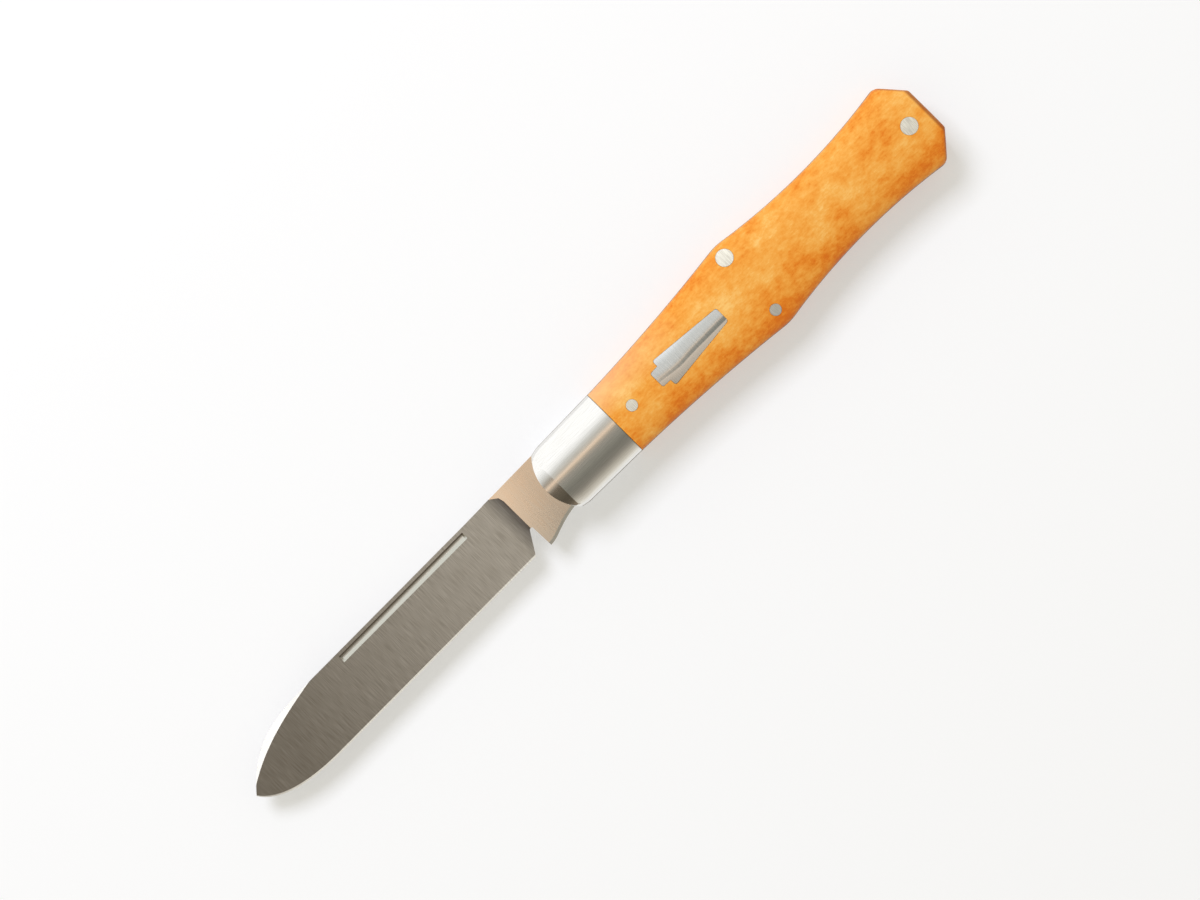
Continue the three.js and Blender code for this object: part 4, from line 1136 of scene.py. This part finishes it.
# Hidden pieces that keep their CAD meshes
CAD_FINISHES = {
    "pivot_pin": PIN_STEEL,
    "pivot_bushing": BRASS,
    "front_bolster_pin_1": PIN_STEEL,
    "front_bolster_pin_2": PIN_STEEL,
    "rear_bolster_pin_1": PIN_STEEL,
    "rear_bolster_pin_2": PIN_STEEL,
    "shield_pin_1": PIN_STEEL,
    "shield_pin_2": PIN_STEEL,
}


def finish(piece, body, slot, material, *nodes):
    """Gives a piece its material, and says which body carries it and which CAD nodes it stands for."""
    piece.data.materials.clear()
    piece.data.materials.append(material)
    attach(piece, body)
    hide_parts(*nodes)


make_bolsters()
make_scales()
make_scale_pins()
make_rivets()
make_shield()
make_liners()
make_spring()
make_blade()

for node, material in CAD_FINISHES.items():
    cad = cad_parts[node]
    cad.data.materials.clear()
    cad.data.materials.append(material)


# The table, the light and the camera

# Where the photograph's frame lies on the knife: its middle, its width, its turn in degrees, and the camera's
# height in metres
VIEW_MIDDLE = (5.46 * MM, 0.09 * MM)
VIEW_WIDTH = 221.0 * MM
VIEW_TURN = -45.2
VIEW_HEIGHT = 0.7
SENSOR_WIDTH = 36.0

# Table, room and lamp: metres, watts and linear colours
TABLE_SIZE = 4.0
TABLE_GLOW = 0.42
ROOM_LIGHT = (0.50, 0.475, 0.39, 1)
LAMP_SIZE = 0.4
LAMP_POWER = 5.9
LAMP_COLOUR = (1.0, 1.04, 1.22)
LAMP_PLACE = (0.0, 0.545, 0.855)


def make_table():
    """White paper, partly lit by itself as camera and steel see it, so that its shadow stays light."""
    bpy.ops.mesh.primitive_plane_add(size=TABLE_SIZE, location=(0, 0, TABLE_Z))
    table = named(bpy.context.object, "paper_table")
    material, tree = new_material("matt_white_paper")
    paper = add_node(
        tree,
        "ShaderNodeBsdfPrincipled",
        inputs={"Base Color": linear("#FDFDFC"), "Roughness": 0.9, "Specular IOR Level": 0.2},
    )
    glow = add_node(tree, "ShaderNodeEmission", inputs={"Color": (1, 1, 1, 1), "Strength": 1.0})
    path = add_node(tree, "ShaderNodeLightPath").outputs
    seen = add_node(tree, "ShaderNodeMath", LARGER, {0: path["Is Camera Ray"], 1: path["Is Glossy Ray"]})
    share = add_node(tree, "ShaderNodeMath", MULTIPLY, {0: seen, 1: TABLE_GLOW})
    both = add_node(tree, "ShaderNodeMixShader", inputs={0: share, 1: paper, 2: glow})
    add_node(tree, "ShaderNodeOutputMaterial", inputs={"Surface": both})
    table.data.materials.append(material)


# What steel sees, by the sine of the angle from the zenith to the knife's back: (place, red, green, blue)
STUDIO = [
    (-1.00, 0.95, 0.93, 0.88),
    (-0.89, 0.72, 0.68, 0.60),
    (-0.76, 0.56, 0.52, 0.45),
    (-0.64, 0.41, 0.38, 0.32),
    (-0.54, 0.30, 0.275, 0.235),
    (-0.45, 0.235, 0.22, 0.185),
    (-0.30, 0.21, 0.20, 0.17),
    (-0.17, 0.27, 0.26, 0.22),
    (-0.08, 0.33, 0.31, 0.27),
    (-0.03, 0.40, 0.36, 0.30),
    (-0.010, 0.50, 0.42, 0.33),
    (0.004, 1.10, 0.81, 0.57),
    (0.018, 1.10, 0.86, 0.66),
    (0.035, 0.62, 0.55, 0.46),
    (0.07, 0.58, 0.55, 0.50),
    (0.12, 0.65, 0.64, 0.60),
    (0.17, 0.83, 0.83, 0.81),
    (0.24, 1.05, 1.05, 1.04),
    (0.34, 1.20, 1.20, 1.20),
    (1.00, 1.20, 1.20, 1.20),
]

# What darkens it past the tip, low down and off the streak: a tint, and where its limits start and are full,
# by the direction's X, by its Y and by how far that is from 0
TIP_SIDE_TINT = (0.46, 0.40, 0.34, 1)
TIP_SIDE_X = (-0.2, -0.5)
TIP_SIDE_Y = (0.12, 0.03)
TIP_SIDE_OFF_STREAK = (0.015, 0.06)


def make_world():
    """A dim room for matt things; steel sees the studio in it, and the camera sees white."""
    world = bpy.data.worlds.new("studio")
    bpy.context.scene.world = world
    world.use_nodes = True
    tree = world.node_tree
    tree.nodes.clear()
    direction = add_node(tree, "ShaderNodeTexCoord").outputs["Generated"]
    axes = add_node(tree, "ShaderNodeSeparateXYZ", inputs={"Vector": direction}).outputs
    stops = [((place + 1) / 2, (red, green, blue, 1)) for place, red, green, blue in STUDIO]
    across = region(tree, [(axes["Y"], -1.0, 1.0)])
    plain = add_node(tree, "ShaderNodeValToRGB", inputs={"Fac": across}, stops=stops)
    off_zenith = add_node(tree, "ShaderNodeMath", ABSOLUTE, {0: axes["Y"]})
    limits = [(axes["X"], *TIP_SIDE_X), (axes["Y"], *TIP_SIDE_Y), (off_zenith, *TIP_SIDE_OFF_STREAK)]
    tip_side = region(tree, limits)
    tinted = add_node(tree, "ShaderNodeMix", TINT, {0: tip_side, 6: plain, 7: TIP_SIDE_TINT}).outputs[2]
    room, studio, white = [
        add_node(tree, "ShaderNodeBackground", inputs={"Color": colour, "Strength": 1.0})
        for colour in (ROOM_LIGHT, tinted, (1, 1, 1, 1))
    ]
    path = add_node(tree, "ShaderNodeLightPath").outputs
    things = add_node(tree, "ShaderNodeMixShader", inputs={0: path["Is Glossy Ray"], 1: room, 2: studio})
    both = add_node(tree, "ShaderNodeMixShader", inputs={0: path["Is Camera Ray"], 1: things, 2: white})
    add_node(tree, "ShaderNodeOutputWorld", inputs={"Surface": both})


def make_lamp():
    """A soft lamp high behind the knife's back, which throws the shadow to the belly side."""
    data = bpy.data.lights.new("soft_lamp", "AREA")
    data.shape = "RECTANGLE"
    data.size = LAMP_SIZE
    data.size_y = LAMP_SIZE
    data.energy = LAMP_POWER
    data.color = LAMP_COLOUR
    lamp = bpy.data.objects.new("soft_lamp", data)
    bpy.context.collection.objects.link(lamp)
    lamp.visible_glossy = False
    lamp.location = LAMP_PLACE
    lamp.rotation_euler = (-Vector(LAMP_PLACE)).to_track_quat("-Z", "Y").to_euler()


def make_camera():
    """A camera straight above the knife, turned and framed as in the photograph."""
    data = bpy.data.cameras.new("camera")
    data.sensor_width = SENSOR_WIDTH
    data.lens = SENSOR_WIDTH * (VIEW_HEIGHT - MIDDLE_Z) / VIEW_WIDTH
    camera = bpy.data.objects.new("camera", data)
    bpy.context.collection.objects.link(camera)
    camera.location = (*VIEW_MIDDLE, VIEW_HEIGHT)
    camera.rotation_euler = (0, 0, math.radians(VIEW_TURN))
    bpy.context.scene.camera = camera


make_table()
make_world()
make_lamp()
make_camera()
bpy.context.scene.view_settings.view_transform = "Standard"
